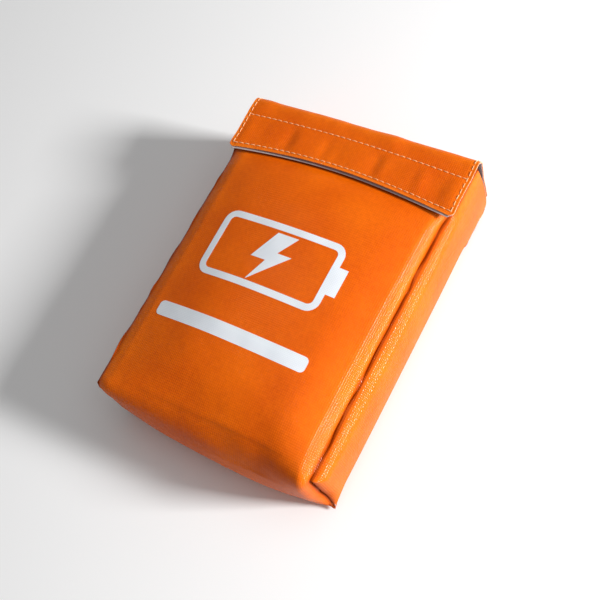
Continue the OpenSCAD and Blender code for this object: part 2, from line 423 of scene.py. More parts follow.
@dataclass(frozen=True)
class CoatedGlassCloth:
    """Orange silicone-coated glass cloth: fine plain weave under a glossy skin."""

    name: str = "coated_orange_cloth"
    deep: tuple = (0.57, 0.066, 0.001)
    bright: tuple = (0.83, 0.15, 0.002)
    # painted shade: dark brown laid into the seam creases, where shadow falls
    crease: tuple = (0.17, 0.018, 0.0005)
    # lighter colour on the seam rolls: rubbed wear and also a painted highlight
    worn_and_highlit: tuple = (0.90, 0.24, 0.012)
    yarn_pitch: float = 1.45 * MM
    weave_depth: float = 0.16 * MM
    grain_depth: float = 0.05 * MM
    crease_depth: float = 0.9 * MM
    patch_scale: float = 22.0
    crease_scale: float = 38.0
    gloss_scale: float = 90.0
    rub_and_highlight_scale: float = 260.0
    speckle_scale: float = 420.0
    grain_scale: float = 900.0
    coat: float = 0.5
    coat_rough: float = 0.15
    coat_ior: float = 1.36

    def tone(
        self, sheet: NodeSheet, space: bpy.types.NodeSocket, weave: bpy.types.NodeSocket
    ) -> bpy.types.NodeSocket:
        """Colour of the cloth: tone of the weave, then rubbed rolls lightened with a painted
        highlight, and creases darkened with painted shade.

        Args:
            sheet: The material's nodes.
            space: Place in the piece's own space.
            weave: Height of the weave.

        Returns:
            The colour socket.
        """
        patches = sheet.noise(space, self.patch_scale, 4.0)
        speckle = sheet.noise(space, self.speckle_scale, 2.0)
        tone = sheet.math("MULTIPLY_ADD", weave, 0.16, sheet.math("MULTIPLY", patches, 0.6))
        tone = sheet.math("MULTIPLY_ADD", speckle, 0.3, tone)
        colour = sheet.blend_colours(tone, [(0.25, self.deep), (0.8, self.bright)])
        wear = sheet.add("ShaderNodeAttribute", attribute_name="wear").outputs["Fac"]
        # Positive wear values light the seam rolls: rubbed wear together with a painted highlight,
        # broken up by noise.
        rubbed_and_highlit = sheet.math("MAXIMUM", wear, 0.0)
        rubbed_and_highlit = sheet.math("MULTIPLY", rubbed_and_highlit, sheet.noise(space, self.rub_and_highlight_scale, 4.0))
        # Negative wear values darken the seam creases: painted shade.
        crease_shade_share = sheet.math("MAXIMUM", sheet.math("MULTIPLY", wear, -1.0), 0.0)
        for share, tint in ((rubbed_and_highlit, self.worn_and_highlit), (crease_shade_share, self.crease)):
            mix = sheet.add("ShaderNodeMix", data_type="RGBA")
            sheet.link(share, mix.inputs[0])
            sheet.link(colour, mix.inputs[6])
            mix.inputs[7].default_value = (*tint, 1.0)
            colour = mix.outputs[2]
        return colour

    def build(self) -> bpy.types.Material:
        """Returns the finished material."""
        sheet = NodeSheet(self.name)
        u, v, space = sheet.cloth_place()
        weave = sheet.plain_weave(u, v, self.yarn_pitch)
        colour = self.tone(sheet, space, weave)
        gloss = sheet.noise(space, self.gloss_scale, 5.0)
        rough = sheet.math("MULTIPLY_ADD", gloss, 0.18, 0.27)
        creases = sheet.bump(sheet.noise(space, self.crease_scale), self.crease_depth)
        grain = sheet.noise(space, self.grain_scale, 2.0)
        grain = sheet.bump(grain, self.grain_depth, 0.6, creases)
        woven = sheet.bump(weave, self.weave_depth, 1.0, grain)
        sheet.dress(colour, rough, woven)
        sheet.link(woven, sheet.shader.inputs["Coat Normal"])
        sheet.set(Coat_Weight=self.coat, Coat_Roughness=self.coat_rough, Coat_IOR=self.coat_ior)
        sheet.set(Specular_IOR_Level=0.0)
        return sheet.material


@dataclass(frozen=True)
class LiningCloth:
    """Warm grey woven lining, matt."""

    name: str = "grey_lining_cloth"
    dark: tuple = (0.24, 0.185, 0.185)
    pale: tuple = (0.56, 0.46, 0.45)
    yarn_pitch: float = 0.8 * MM
    weave_depth: float = 0.12 * MM
    fold_depth: float = 0.6 * MM
    patch_scale: float = 60.0
    fold_scale: float = 45.0

    def build(self) -> bpy.types.Material:
        """Returns the finished material."""
        sheet = NodeSheet(self.name)
        u, v, space = sheet.cloth_place()
        weave = sheet.plain_weave(u, v, self.yarn_pitch)
        patches = sheet.math("MULTIPLY", sheet.noise(space, self.patch_scale), 0.4)
        tone = sheet.math("MULTIPLY_ADD", weave, 0.6, patches)
        colour = sheet.blend_colours(tone, [(0.1, self.dark), (0.85, self.pale)])
        rough = sheet.math("MULTIPLY_ADD", weave, -0.15, 0.85)
        folds = sheet.bump(sheet.noise(space, self.fold_scale), self.fold_depth)
        sheet.dress(colour, rough, sheet.bump(weave, self.weave_depth, 1.0, folds))
        sheet.set(Sheen_Weight=0.25, Sheen_Roughness=0.4)
        return sheet.material


@dataclass(frozen=True)
class CutEdge:
    """Raw cut edge of a cloth, where the pale glass yarns show in its section."""

    name: str
    yarn: tuple
    gap: tuple
    fray_scale: float = 1400.0
    fray_depth: float = 0.15 * MM

    def build(self) -> bpy.types.Material:
        """Returns the finished material."""
        sheet = NodeSheet(self.name)
        fray = sheet.noise(sheet.space(), self.fray_scale)
        colour = sheet.blend_colours(fray, [(0.35, self.gap), (0.62, self.yarn)])
        rough = sheet.math("MULTIPLY_ADD", fray, 0.2, 0.65)
        sheet.dress(colour, rough, sheet.bump(fray, self.fray_depth))
        return sheet.material


@dataclass(frozen=True)
class SewingThread:
    """Pale orange twisted polyester thread."""

    name: str = "topstitch_thread"
    dark: tuple = (0.70, 0.28, 0.08)
    pale: tuple = (0.95, 0.56, 0.28)
    strand_scale: float = 2600.0
    strand_depth: float = 0.08 * MM

    def build(self) -> bpy.types.Material:
        """Returns the finished material."""
        sheet = NodeSheet(self.name)
        strands = sheet.noise(sheet.space(), self.strand_scale, 2.0)
        colour = sheet.blend_colours(strands, [(0.3, self.dark), (0.7, self.pale)])
        rough = sheet.math("MULTIPLY_ADD", strands, 0.2, 0.4)
        sheet.dress(colour, rough, sheet.bump(strands, self.strand_depth))
        sheet.set(Sheen_Weight=0.3, Sheen_Roughness=0.3)
        return sheet.material


@dataclass(frozen=True)
class TapeYarn:
    """Nylon of the hook and loop tapes: woven ground, pile or hooks."""

    name: str
    dark: tuple
    pale: tuple
    rough: float
    yarn_pitch: float = 0.7 * MM
    weave_depth: float = 0.1 * MM
    fuzz_scale: float = 700.0

    def build(self) -> bpy.types.Material:
        """Returns the finished material."""
        sheet = NodeSheet(self.name)
        u, v, space = sheet.cloth_place()
        weave = sheet.plain_weave(u, v, self.yarn_pitch)
        fuzz = sheet.noise(space, self.fuzz_scale, 4.0)
        tone = sheet.math("MULTIPLY_ADD", weave, 0.5, sheet.math("MULTIPLY", fuzz, 0.5))
        colour = sheet.blend_colours(tone, [(0.2, self.dark), (0.8, self.pale)])
        rough = sheet.math("MULTIPLY_ADD", fuzz, 0.2, self.rough)
        base = sheet.bump(fuzz, self.weave_depth)
        sheet.dress(colour, rough, sheet.bump(weave, self.weave_depth, 1.0, base))
        sheet.set(Sheen_Weight=0.2)
        return sheet.material


@dataclass(frozen=True)
class ScreenPrint:
    """Silver-white screen print that sinks into the weave below it."""

    name: str = "silver_screen_print"
    shade: tuple = (0.60, 0.64, 0.69)
    light: tuple = (0.78, 0.81, 0.85)
    yarn_pitch: float = 1.15 * MM
    weave_depth: float = 0.08 * MM
    cloud_scale: float = 55.0

    def build(self) -> bpy.types.Material:
        """Returns the finished material."""
        sheet = NodeSheet(self.name)
        space = sheet.space()
        split = sheet.add("ShaderNodeSeparateXYZ")
        sheet.link(space, split.inputs[0])
        weave = sheet.plain_weave(split.outputs["X"], split.outputs["Y"], self.yarn_pitch)
        cloudy = sheet.noise(space, self.cloud_scale, 4.0)
        tone = sheet.math("MULTIPLY_ADD", weave, 0.35, sheet.math("MULTIPLY", cloudy, 0.65))
        colour = sheet.blend_colours(tone, [(0.2, self.shade), (0.75, self.light)])
        rough = sheet.math("MULTIPLY_ADD", cloudy, 0.2, 0.35)
        sheet.dress(colour, rough, sheet.bump(weave, self.weave_depth))
        return sheet.material


@dataclass(frozen=True)
class StudioFloor:
    """Plain pale floor."""

    name: str = "studio_floor"
    colour: tuple = (0.88, 0.88, 0.88)

    def build(self) -> bpy.types.Material:
        """Returns the finished material."""
        sheet = NodeSheet(self.name)
        sheet.set(Base_Color=(*self.colour, 1.0), Roughness=0.9)
        return sheet.material


@dataclass
class Finishes:
    """Every finish of the pouch, made once."""

    shell: bpy.types.Material = field(default_factory=lambda: CoatedGlassCloth().build())
    lining: bpy.types.Material = field(default_factory=lambda: LiningCloth().build())
    shell_edge: bpy.types.Material = field(
        default_factory=lambda: CutEdge(
            "orange_cut_edge", (0.86, 0.50, 0.30), (0.45, 0.10, 0.02)
        ).build()
    )
    lining_edge: bpy.types.Material = field(
        default_factory=lambda: CutEdge(
            "grey_cut_edge", (0.50, 0.40, 0.40), (0.12, 0.08, 0.08)
        ).build()
    )
    thread: bpy.types.Material = field(default_factory=lambda: SewingThread().build())
    hooks: bpy.types.Material = field(
        default_factory=lambda: TapeYarn(
            "hook_tape_nylon", (0.10, 0.10, 0.105), (0.30, 0.30, 0.31), 0.35
        ).build()
    )
    loops: bpy.types.Material = field(
        default_factory=lambda: TapeYarn(
            "loop_tape_nylon", (0.13, 0.13, 0.135), (0.34, 0.34, 0.35), 0.7
        ).build()
    )
    print: bpy.types.Material = field(default_factory=lambda: ScreenPrint().build())


# ---------------------------------------------------------------------------
# The pouch's body
# ---------------------------------------------------------------------------


@dataclass
class SeamRoll:
    """Shape of the cloth beside a seam, where both panels roll into a deep crease."""

    radius: float = 6.6 * MM
    turn: float = math.radians(104.0)
    rings: int = 7
    reach: float = field(init=False)
    depth: float = field(init=False)
    shift: float = field(init=False)

    def __post_init__(self) -> None:
        """Works out the roll's length, its depth and how far it draws the cloth in."""
        self.reach = self.radius * self.turn
        self.depth = self.radius * (1.0 - math.cos(self.turn))
        flat_start = self.depth + self.radius * math.sin(self.turn)
        self.shift = flat_start - self.reach

    def inset(self, distance: np.ndarray) -> np.ndarray:
        """Distance in from the box edge, for cloth that far from the seam."""
        angle = self.turn * np.clip(1.0 - distance / self.reach, 0.0, 1.0)
        on_roll = self.reach + self.shift - self.radius * np.sin(angle)
        return np.where(distance < self.reach, on_roll, distance + self.shift)

    def drop(self, distance: np.ndarray) -> np.ndarray:
        """Depth below the panel's face, for cloth that far from the seam."""
        angle = self.turn * np.clip(1.0 - distance / self.reach, 0.0, 1.0)
        return self.radius * (1.0 - np.cos(angle))

    def samples(self, length: float, step: float) -> np.ndarray:
        """Places along a panel between two seams, finer on the rolls.

        Args:
            length: Cloth between the seams.
            step: Distance between places on the flat stretch.

        Returns:
            Rising distances from the first seam.
        """
        roll = np.linspace(0.0, self.reach, self.rings)
        count = max(2, round((length - 2.0 * self.reach) / step))
        flat = np.linspace(self.reach, length - self.reach, count + 1)[1:-1]
        return np.concatenate([roll, flat, length - roll[::-1]])

    def samples_to_edge(self, length: float, step: float) -> np.ndarray:
        """Places along a panel from a seam to a free edge, finer on the roll."""
        roll = np.linspace(0.0, self.reach, self.rings)
        count = max(2, round((length - self.reach) / step))
        return np.concatenate([roll, np.linspace(self.reach, length, count + 1)[1:]])


COATED_CLOTH_MOTION = {
    "quality": 6,
    "mass": 0.25,
    "tension_stiffness": 25.0,
    "compression_stiffness": 25.0,
    "shear_stiffness": 8.0,
    "bending_stiffness": 1.2,
    "bending_model": "ANGULAR",
    "air_damping": 4.0,
    "use_pressure": True,
}


@dataclass
class PouchBody:
    """Outer shell and lining of the pouch, puffed by a cloth simulation."""

    size: PouchSize
    roll: SeamRoll = field(default_factory=SeamRoll)
    bend: float = 10.0 * MM
    step: float = 4.6 * MM
    pressure: float = 6.0
    frames: int = 24
    cap: float = 6.0 * MM
    mouth_ease: float = 0.7
    left_ease: float = 0.6
    ear_pull: float = 0.7
    calm_passes: int = 10
    arch: float = 7.4 * MM
    crown: float = 5.5 * MM
    # extra strength of the painted shade that darkens the seam creases
    crease_shade_extra: float = 0.75
    fill: float = 5.0 * MM
    tuck: float = 5.0 * MM
    slack: float = 1.006
    ease_width: float = 60.0 * MM
    pinch_ease: tuple = (-8.0 * MM, 22.0 * MM)
    rise_ramp: tuple = (-55.0 * MM, 55.0 * MM)
    rise_fade: tuple = (12.0 * MM, 24.0 * MM)
    rise_drop: float = 0.85
    tuck_ramp: tuple = (-13.0 * MM, 14.0 * MM)
    tuck_fade: tuple = (22.0 * MM, 12.0 * MM)
    tuck_drop: float = 0.8
    crown_run: float = 60.0 * MM
    crown_fade: tuple = (-30.0 * MM, 60.0 * MM)
    crown_drop: float = 0.8
    fill_run: float = 70.0 * MM
    side_wave: Ripple = Ripple(0.0, 0.9 * MM, 55.0 * MM, 11)
    rise_wave: Ripple = Ripple(0.0, 0.8 * MM, 47.0 * MM, 17)
    ear_reach: float = 9.0 * MM
    ear_overhang: float = 2.0 * MM
    allowance: float = 5.0 * MM
    side_lap: float = 3.5 * MM
    corner_lap: float = 3.0 * MM
    lining_gap: float = 0.5 * MM
    lining_trim: int = 3
    mouth_lip: float = 6.0 * MM
    held_rows: int = 9

    def __post_init__(self) -> None:
        """Works out the samples across each panel."""
        s, roll = self.size, self.roll
        self.inside = np.array([0.0, (s.bottom_y + s.mouth_y) / 2.0, s.depth / 2.0])
        self.across = roll.samples(2.0 * (s.half_width - roll.shift), self.step)
        self.up_side = roll.samples_to_edge(s.mouth_y - s.bottom_y - roll.shift, self.step)
        self.through = roll.samples(s.depth - 2.0 * roll.shift, self.step)
        self.long = len(self.up_side)
        self.short = len(self.through)
        self.wide = len(self.across)

    def centre_path(self) -> tuple:
        """Path of the wrap halfway between the side seams.

        Returns:
            For each row from the front's mouth round to the back's: the place (y, z), the
            outward direction (y, z) and the distance along the cloth.
        """
        s, r = self.size, self.bend
        half_arc = r * math.pi / 4.0
        straight = s.mouth_y - s.bottom_y - r
        front_length = straight + half_arc
        bottom_length = s.depth - 2.0 * r + 2.0 * half_arc
        front = (self.up_side / self.up_side[-1])[::-1] * front_length
        bottom = self.through / self.through[-1] * bottom_length
        places = np.concatenate(
            [
                front_length - front,
                front_length + bottom[1:],
                front_length + bottom_length + front[::-1][1:],
            ]
        )
        total = 2.0 * front_length + bottom_length
        out = np.empty((len(places), 4))
        for i, along in enumerate(places):
            mirrored = along > total / 2.0
            a = total - along if mirrored else along
            if a <= straight:
                y, z, ny, nz = s.mouth_y - a, s.depth, 0.0, 1.0
            elif a <= straight + 2.0 * half_arc:
                angle = (a - straight) / r
                ny, nz = -math.sin(angle), math.cos(angle)
                y, z = s.bottom_y + r + r * ny, s.depth - r + r * nz
            else:
                y, z, ny, nz = s.bottom_y, s.depth - r - (a - straight - 2.0 * half_arc), -1.0, 0.0
            if mirrored:
                z, nz = s.depth - z, -nz
            out[i] = y, z, ny, nz
        return out[:, :2], out[:, 2:], places

    def seam_path(self, pinch: float) -> tuple:
        """Path of a side seam and how deeply each row of it is pinched in.

        Args:
            pinch: Share of the full pinch, from 0 for a square box to 1.

        Returns:
            The place (y, z) of each row of the seam, and its inset from the box.
        """
        s = self.size
        up = s.bottom_y + self.edge_inset(self.up_side, pinch)
        through = s.depth - self.edge_inset(self.through, pinch)
        far = self.through[-1] - self.through
        through = np.where(
            self.through <= far, through, self.edge_inset(far, pinch)
        )
        inset = self.edge_inset(np.zeros(1), pinch)[0]
        front = np.stack([up[::-1], np.full(self.long, s.depth - inset)], axis=1)
        bottom = np.stack([np.full(self.short, s.bottom_y + inset), through], axis=1)
        back = np.stack([up, np.full(self.long, inset)], axis=1)
        return np.concatenate([front, bottom[1:], back[1:]]), inset

    def edge_inset(self, distance: np.ndarray, pinch: float) -> np.ndarray:
        """Distance in from a box edge, between a square box and the full roll."""
        square = distance + self.roll.shift * (1.0 - np.exp(-distance / (10.0 * MM)))
        return (1.0 - pinch) * square + pinch * self.roll.inset(distance)

    def ear(self) -> np.ndarray:
        """How far each row of a seam is pulled out again at the back bottom corner."""
        rows = np.arange(2 * self.long + self.short - 2)
        corner = self.long + self.short - 2
        _, _, along = self.centre_path()
        return self.ear_pull * bump_at(along, along[corner], self.ear_reach) * (rows > 0)

    def wrap_points(self, pinch: float) -> np.ndarray:
        """Points of the strip that makes the front, the bottom and the back."""
        s = self.size
        centre, _, _ = self.centre_path()
        seam, inset = self.seam_path(pinch)
        near = np.minimum(self.across, self.across[-1] - self.across)
        share = self.roll.drop(near) / self.roll.depth
        from_edge = self.edge_inset(near, pinch)
        sign = np.where(self.across < self.across[-1] / 2.0, -1.0, 1.0)
        if pinch == 0.0:
            share = share * 0.0
        x = sign * (s.half_width - from_edge)
        points = np.empty((len(centre), self.wide, 3))
        points[:, :, 0] = x[None, :]
        weight = share[None, :, None]
        points[:, :, 1:] = centre[:, None, :] * (1.0 - weight) + seam[:, None, :] * weight
        if pinch > 0.0:
            points = self.pull_ears(points, share, inset)
        return points

    def pull_ears(self, points: np.ndarray, share: np.ndarray, inset: float) -> np.ndarray:
        """Pulls the wrap's edge out again at the back bottom corners.

        Args:
            points: Points of the wrap.
            share: How much each column belongs to the seam.
            inset: The seam's inset from the box.

        Returns:
            The points with their ears.
        """
        s = self.size
        pull = (self.ear()[:, None] * share[None, :])[:, :, None]
        out = np.zeros_like(points)
        out[:, :, 0] = np.sign(points[:, :, 0]) * inset
        out[:, :, 1] = -inset
        out[:, :, 2] = -inset
        moved = points + pull * out
        moved[:, :, 2] = np.maximum(moved[:, :, 2], 0.0)
        moved[:, :, 1] = np.maximum(moved[:, :, 1], s.bottom_y - self.ear_overhang)
        return moved

    def side_points(self, side: Side, pinch: float) -> np.ndarray:
        """Points of one side panel, as rows up its length and columns through its depth."""
        s, roll = self.size, self.roll
        up = s.bottom_y + self.edge_inset(self.up_side, pinch)
        far = self.through[-1] - self.through
        z = np.where(
            self.through <= far,
            s.depth - self.edge_inset(self.through, pinch),
            self.edge_inset(far, pinch),
        )
        drop_up = roll.drop(self.up_side)[:, None]
        drop_through = roll.drop(np.minimum(self.through, far))[None, :]
        depth = np.maximum(drop_up, drop_through)
        soft = 1.0 - (1.0 - drop_up / roll.depth) * (1.0 - drop_through / roll.depth)
        edge = np.maximum(drop_up, drop_through) >= roll.depth - 1e-9
        depth = np.where(edge, roll.depth, 0.5 * depth + 0.5 * soft * roll.depth)
        points = np.empty((self.long, self.short, 3))
        points[:, :, 0] = side.value * (s.half_width - pinch * depth)
        points[:, :, 1] = up[:, None]
        points[:, :, 2] = z[None, :]
        if pinch > 0.0:
            inset = self.edge_inset(np.zeros(1), pinch)[0]
            reach = bump_at(self.up_side, 0.0, self.ear_reach)[:, None]
            reach = reach * bump_at(far, 0.0, self.ear_reach)[None, :] * self.ear_pull
            points[:, :, 0] += side.value * inset * reach
            low = s.bottom_y - self.ear_overhang
            points[:, :, 1] = np.maximum(points[:, :, 1] - inset * reach, low)
            points[:, :, 2] = np.maximum(points[:, :, 2] - inset * reach, 0.0)
        return points

    def joined(self, pinch: float) -> tuple:
        """Wrap and side panels as one mesh whose seams share their points.

        Args:
            pinch: Share of the full pinch.

        Returns:
            The points, the faces and, for each panel, the index of every grid point.
        """
        wrap = self.wrap_points(pinch)
        rows = wrap.shape[0]
        index = np.arange(rows * self.wide).reshape(rows, self.wide)
        points = [wrap.reshape(-1, 3)]
        grids = {"wrap": index}
        count = index.size
        for side, column in ((Side.LEFT, 0), (Side.RIGHT, self.wide - 1)):
            grid = np.full((self.long, self.short), -1)
            seam = index[:, column]
            grid[:, 0] = seam[: self.long][::-1]
            grid[0, :] = seam[self.long - 1 : self.long + self.short - 1]
            grid[:, -1] = seam[self.long + self.short - 2 :]
            free = grid < 0
            grid[free] = count + np.arange(free.sum())
            points.append(self.side_points(side, pinch)[free])
            count += int(free.sum())
            grids[side.name] = grid
        points = np.concatenate(points)
        faces = []
        for grid in grids.values():
            corners = [grid[:-1, :-1], grid[:-1, 1:], grid[1:, 1:], grid[1:, :-1]]
            quads = np.stack(corners, axis=-1).reshape(-1, 4)
            one, two, three = (points[quads[:, i]] for i in range(3))
            facing = np.cross(two - one, three - two)
            if (facing * (one - self.inside)).sum() < 0.0:
                quads = quads[:, ::-1]
            faces.append(quads)
        return points, np.concatenate(faces), grids

    def start_shape(self) -> tuple:
        """Pinched shell before it is puffed, less pinched under the flap.

        Returns:
            The points, the faces and the index grids of the panels.
        """
        square, faces, grids = self.joined(0.0)
        pinched, _, _ = self.joined(1.0)
        loose = smoothstep(0.5 - square[:, 0] / self.ease_width)
        share = (self.pinch_at(square[:, 1]) * (1.0 - self.left_ease * loose))[:, None]
        return square * (1.0 - share) + pinched * share, faces, grids

    def pinch_at(self, y: np.ndarray) -> np.ndarray:
        """How fully the seams are pinched at each place up the pouch."""
        return 1.0 - self.mouth_ease * ramp(y - self.size.hem_y, *self.pinch_ease)

    def roughen_seams(self, points: np.ndarray, grids: dict) -> np.ndarray:
        """Lets the seams wander a little, as hand-fed sewing does."""
        out = points.copy()
        _, _, along = self.centre_path()
        calm = 1.0 - self.ear()
        for number, column in enumerate((0, self.wide - 1)):
            seam = grids["wrap"][:, column]
            for axis, wave in ((0, self.side_wave), (2, self.rise_wave)):
                wave = replace(wave, seed=wave.seed + number)
                out[seam, axis] += wave.at(along) * calm
        out[:, 2] = np.maximum(out[:, 2], 0.0)
        return out

    def puff(self) -> tuple:
        """Runs the cloth simulation on the joined shell.

        Returns:
            The settled points and the index grids of the panels.
        """
        points, faces, grids = self.start_shape()
        points = self.roughen_seams(points, grids)
        moved = self.simulate(points, faces, grids["wrap"])
        step = moved - points
        length = np.linalg.norm(step, axis=1, keepdims=True)
        step *= np.minimum(1.0, self.cap / np.maximum(length, 1e-9))
        log.info(
            "puffed by %.1f mm on average, %.1f mm at most before the cap",
            length.mean() / MM, length.max() / MM,
        )
        return points + self.calmed(step, grids), grids

    def simulate(self, points: np.ndarray, faces: np.ndarray, wrap: np.ndarray) -> np.ndarray:
        """Lets pressure puff the shell out, held at its seams, its back and its mouth.

        Args:
            points: Points of the pinched shell.
            faces: Its faces.
            wrap: Index grid of the wrap.

        Returns:
            The points after the last step.
        """
        flat, _, _ = self.joined(0.0)
        obj = new_mesh("puffing_shell", points, faces.tolist())
        bpy.context.view_layer.objects.active = obj
        obj.shape_key_add(name="Basis")
        rest = obj.shape_key_add(name="flat_pattern")
        rest.data.foreach_set("co", (flat * self.slack).astype(np.float32).ravel())
        held = obj.vertex_groups.new(name="held")
        back = wrap[self.long + self.short + 2 :]
        pinned = (wrap[:, 0], wrap[:, -1], back, wrap[: self.held_rows])
        pinned = np.unique(np.concatenate([part.ravel() for part in pinned]))
        held.add(pinned.tolist(), 1.0, "REPLACE")
        cloth = obj.modifiers.new("puff", "CLOTH")
        for name, value in COATED_CLOTH_MOTION.items():
            setattr(cloth.settings, name, value)
        cloth.settings.vertex_group_mass = held.name
        cloth.settings.rest_shape_key = rest
        cloth.settings.uniform_pressure_force = self.pressure
        cloth.settings.effector_weights.gravity = 0.0
        cloth.collision_settings.use_collision = False
        cloth.collision_settings.use_self_collision = False
        scene = bpy.context.scene
        for number in range(1, self.frames + 1):
            scene.frame_set(number)
        settled = obj.evaluated_get(bpy.context.evaluated_depsgraph_get())
        moved = np.empty(len(points) * 3, np.float32)
        settled.data.vertices.foreach_get("co", moved)
        scene.frame_set(1)
        bpy.data.objects.remove(obj)
        return moved.reshape(-1, 3).astype(float)

    def calmed(self, step: np.ndarray, grids: dict) -> np.ndarray:
        """Smooths the movement of the cloth within each panel.

        Args:
            step: Movement of every point.
            grids: Index grids of the panels.

        Returns:
            The smoother movement, unchanged at the seams.
        """
        for grid in grids.values():
            for _ in range(self.calm_passes):
                drift = step[grid]
                drift[1:-1, 1:-1] = (
                    drift[1:-1, 1:-1] * 2.0 + drift[:-2, 1:-1] + drift[2:, 1:-1]
                    + drift[1:-1, :-2] + drift[1:-1, 2:]
                ) / 6.0
                step[grid] = drift
        return step

    def mouth_arch(self, x: np.ndarray) -> np.ndarray:
        """Arch of the closed mouth, 0 at both sides and 1 in the middle."""
        t = np.clip((x + self.size.half_width) / (2.0 * self.size.half_width), 0.0, 1.0)
        return np.sin(math.pi * t**0.93)

    def rise_at(self, x: np.ndarray, y: np.ndarray) -> np.ndarray:
        """How far the front is drawn up with the arched flap."""
        above = y - self.size.hem_y
        lip = 1.0 - self.rise_drop * ramp(above, *self.rise_fade)
        return self.arch * ramp(above, *self.rise_ramp) * lip * self.mouth_arch(x)

    def tuck_at(self, x: np.ndarray, y: np.ndarray) -> np.ndarray:
        """How far the front is pressed in below the arched flap.

        Args:
            x: Places across the pouch.
            y: Places up the pouch, after the mouth is drawn up.

        Returns:
            The depth at each place: none below the hem, full under the tapes, little at the lip.
        """
        above = y - self.size.hem_y - self.arch * self.mouth_arch(x)
        lip = 1.0 - self.tuck_drop * ramp(above, *self.tuck_fade)
        return self.tuck * ramp(above, *self.tuck_ramp) * lip * self.mouth_arch(x)

    def settle(self, points: np.ndarray) -> np.ndarray:
        """Draws the mouth up, lets the front stand out and fills the bottom.

        Args:
            points: Puffed points.

        Returns:
            The points of the shell as it lies on the table.
        """
        s = self.size
        out = points.copy()
        x, y, z = points.T
        front = ramp(z, 0.35 * s.depth, 0.6 * s.depth)
        out[:, 1] += self.rise_at(x, y) * front
        along = ramp(y, s.bottom_y, self.crown_run)
        along = along * (1.0 - self.crown_drop * ramp(y - s.hem_y, *self.crown_fade))
        out[:, 2] += self.crown * along * self.mouth_arch(x) * front
        out[:, 2] -= self.tuck_at(x, out[:, 1]) * front
        low = 1.0 - ramp(y, s.bottom_y, self.fill_run)
        middle = 1.0 - 0.35 * (x / s.half_width) ** 2
        upper = 0.35 + 0.65 * ramp(z, 0.0, 0.5 * s.depth)
        out[:, 1] -= self.fill * low * middle * upper
        out[:, 2] = np.maximum(out[:, 2], 0.0)
        return out

    def build(self, looks: Finishes) -> dict:
        """Makes the wrap, the two side panels and the lining.

        Args:
            looks: The pouch's finishes.

        Returns:
            The new pieces by name, and the refined outer grids.
        """
        points, grids = self.puff()
        points = self.settle(points)
        _, outward, along = self.centre_path()
        fine = {name: refine(refine(points[grid], 0), 1) for name, grid in grids.items()}
        for grid in fine.values():
            grid[:, :, 2] = np.maximum(grid[:, :, 2], 0.0)
        pieces = {}
        mouth = self.size.fold_y - self.mouth_lip
        fine_along = refine(along, 0)
        fine_across = refine(self.across, 0)
        fine_outward = refine(outward, 0)
        wrap = fine["wrap"]
        rows = len(wrap)
        back_start = rows - 2 * self.long
        keep = (wrap[:, wrap.shape[1] // 2, 1] <= mouth) | (np.arange(rows) < back_start)
        wrap, fine_along, fine_outward = wrap[keep], fine_along[keep], fine_outward[keep]
        lip = self.lips(wrap, fine_outward)
        near = np.minimum(fine_across, fine_across[-1] - fine_across)
        lap = self.allowance
        across = np.concatenate([[-lap], fine_across, [fine_across[-1] + lap]])
        pattern = np.stack(np.meshgrid(across, fine_along), axis=-1)
        near = np.concatenate([[0.0], near, [0.0]])
        # Painted light beside the side seams: a painted highlight on the rolls and painted shade in
        # the creases.
        wear = np.tile(self.seam_rub_and_painted_light(near), (len(fine_along), 1))
        cloth = [looks.shell, looks.shell, looks.shell_edge]
        pieces["wrap"] = ClothSheet(lip, pattern, self.size.shell, wear).build(
            "front_bottom_back_wrap", self.inside, cloth
        )
        lined = [looks.lining, looks.lining, looks.lining_edge]
        pieces["wrap_lining"] = self.lining_of(wrap, pattern[:, 1:-1]).build(
            "pouch_lining_wrap", self.inside, lined
        )
        for side in Side:
            grid = fine[side.name]
            pattern = np.stack(
                np.meshgrid(refine(self.through, 0), refine(self.up_side, 0)), axis=-1
            )
            edge = np.minimum(pattern[:, :, 0], self.through[-1] - pattern[:, :, 0])
            edge = np.minimum(edge, pattern[:, :, 1])
            name = side.name.lower()
            full, flat = self.side_lips(grid, side, pattern)
            wear = self.seam_rub_and_painted_light(np.pad(edge, ((1, 0), (1, 1))))
            pieces[name] = ClothSheet(full, flat, self.size.shell, wear).build(
                f"{name}_side_panel_cloth", self.inside, cloth
            )
            pieces[name + "_lining"] = self.lining_of(grid, pattern).build(
                f"{name}_side_lining_cloth", self.inside, lined
            )
        return {"pieces": pieces, "wrap_grid": wrap, "sides": fine}

    def seam_rub_and_painted_light(self, near: np.ndarray) -> np.ndarray:
        """Tone beside a seam: lighter on the roll as rubbed wear with a painted highlight, darkened
        in the crease by painted shade.
        """
        rubbed_and_highlit = np.exp(-near / (9.0 * MM))
        return rubbed_and_highlit - (1.0 + self.crease_shade_extra) * np.exp(-((near / (3.2 * MM)) ** 2))

    def lips(self, wrap: np.ndarray, outward: np.ndarray) -> np.ndarray:
        """Adds the seam allowances that turn in along both edges of the wrap."""
        edges = []
        for column, side in ((0, Side.LEFT), (-1, Side.RIGHT)):
            inward = np.zeros((len(wrap), 3))
            inward[:, 0] = -side.value
            inward[:, 1:] = -outward
            inward /= np.linalg.norm(inward, axis=1, keepdims=True)
            edges.append((wrap[:, column] + inward * self.allowance)[:, None])
        full = np.concatenate([edges[0], wrap, edges[1]], axis=1)
        full[:, :, 2] = np.maximum(full[:, :, 2], 0.0)
        return full

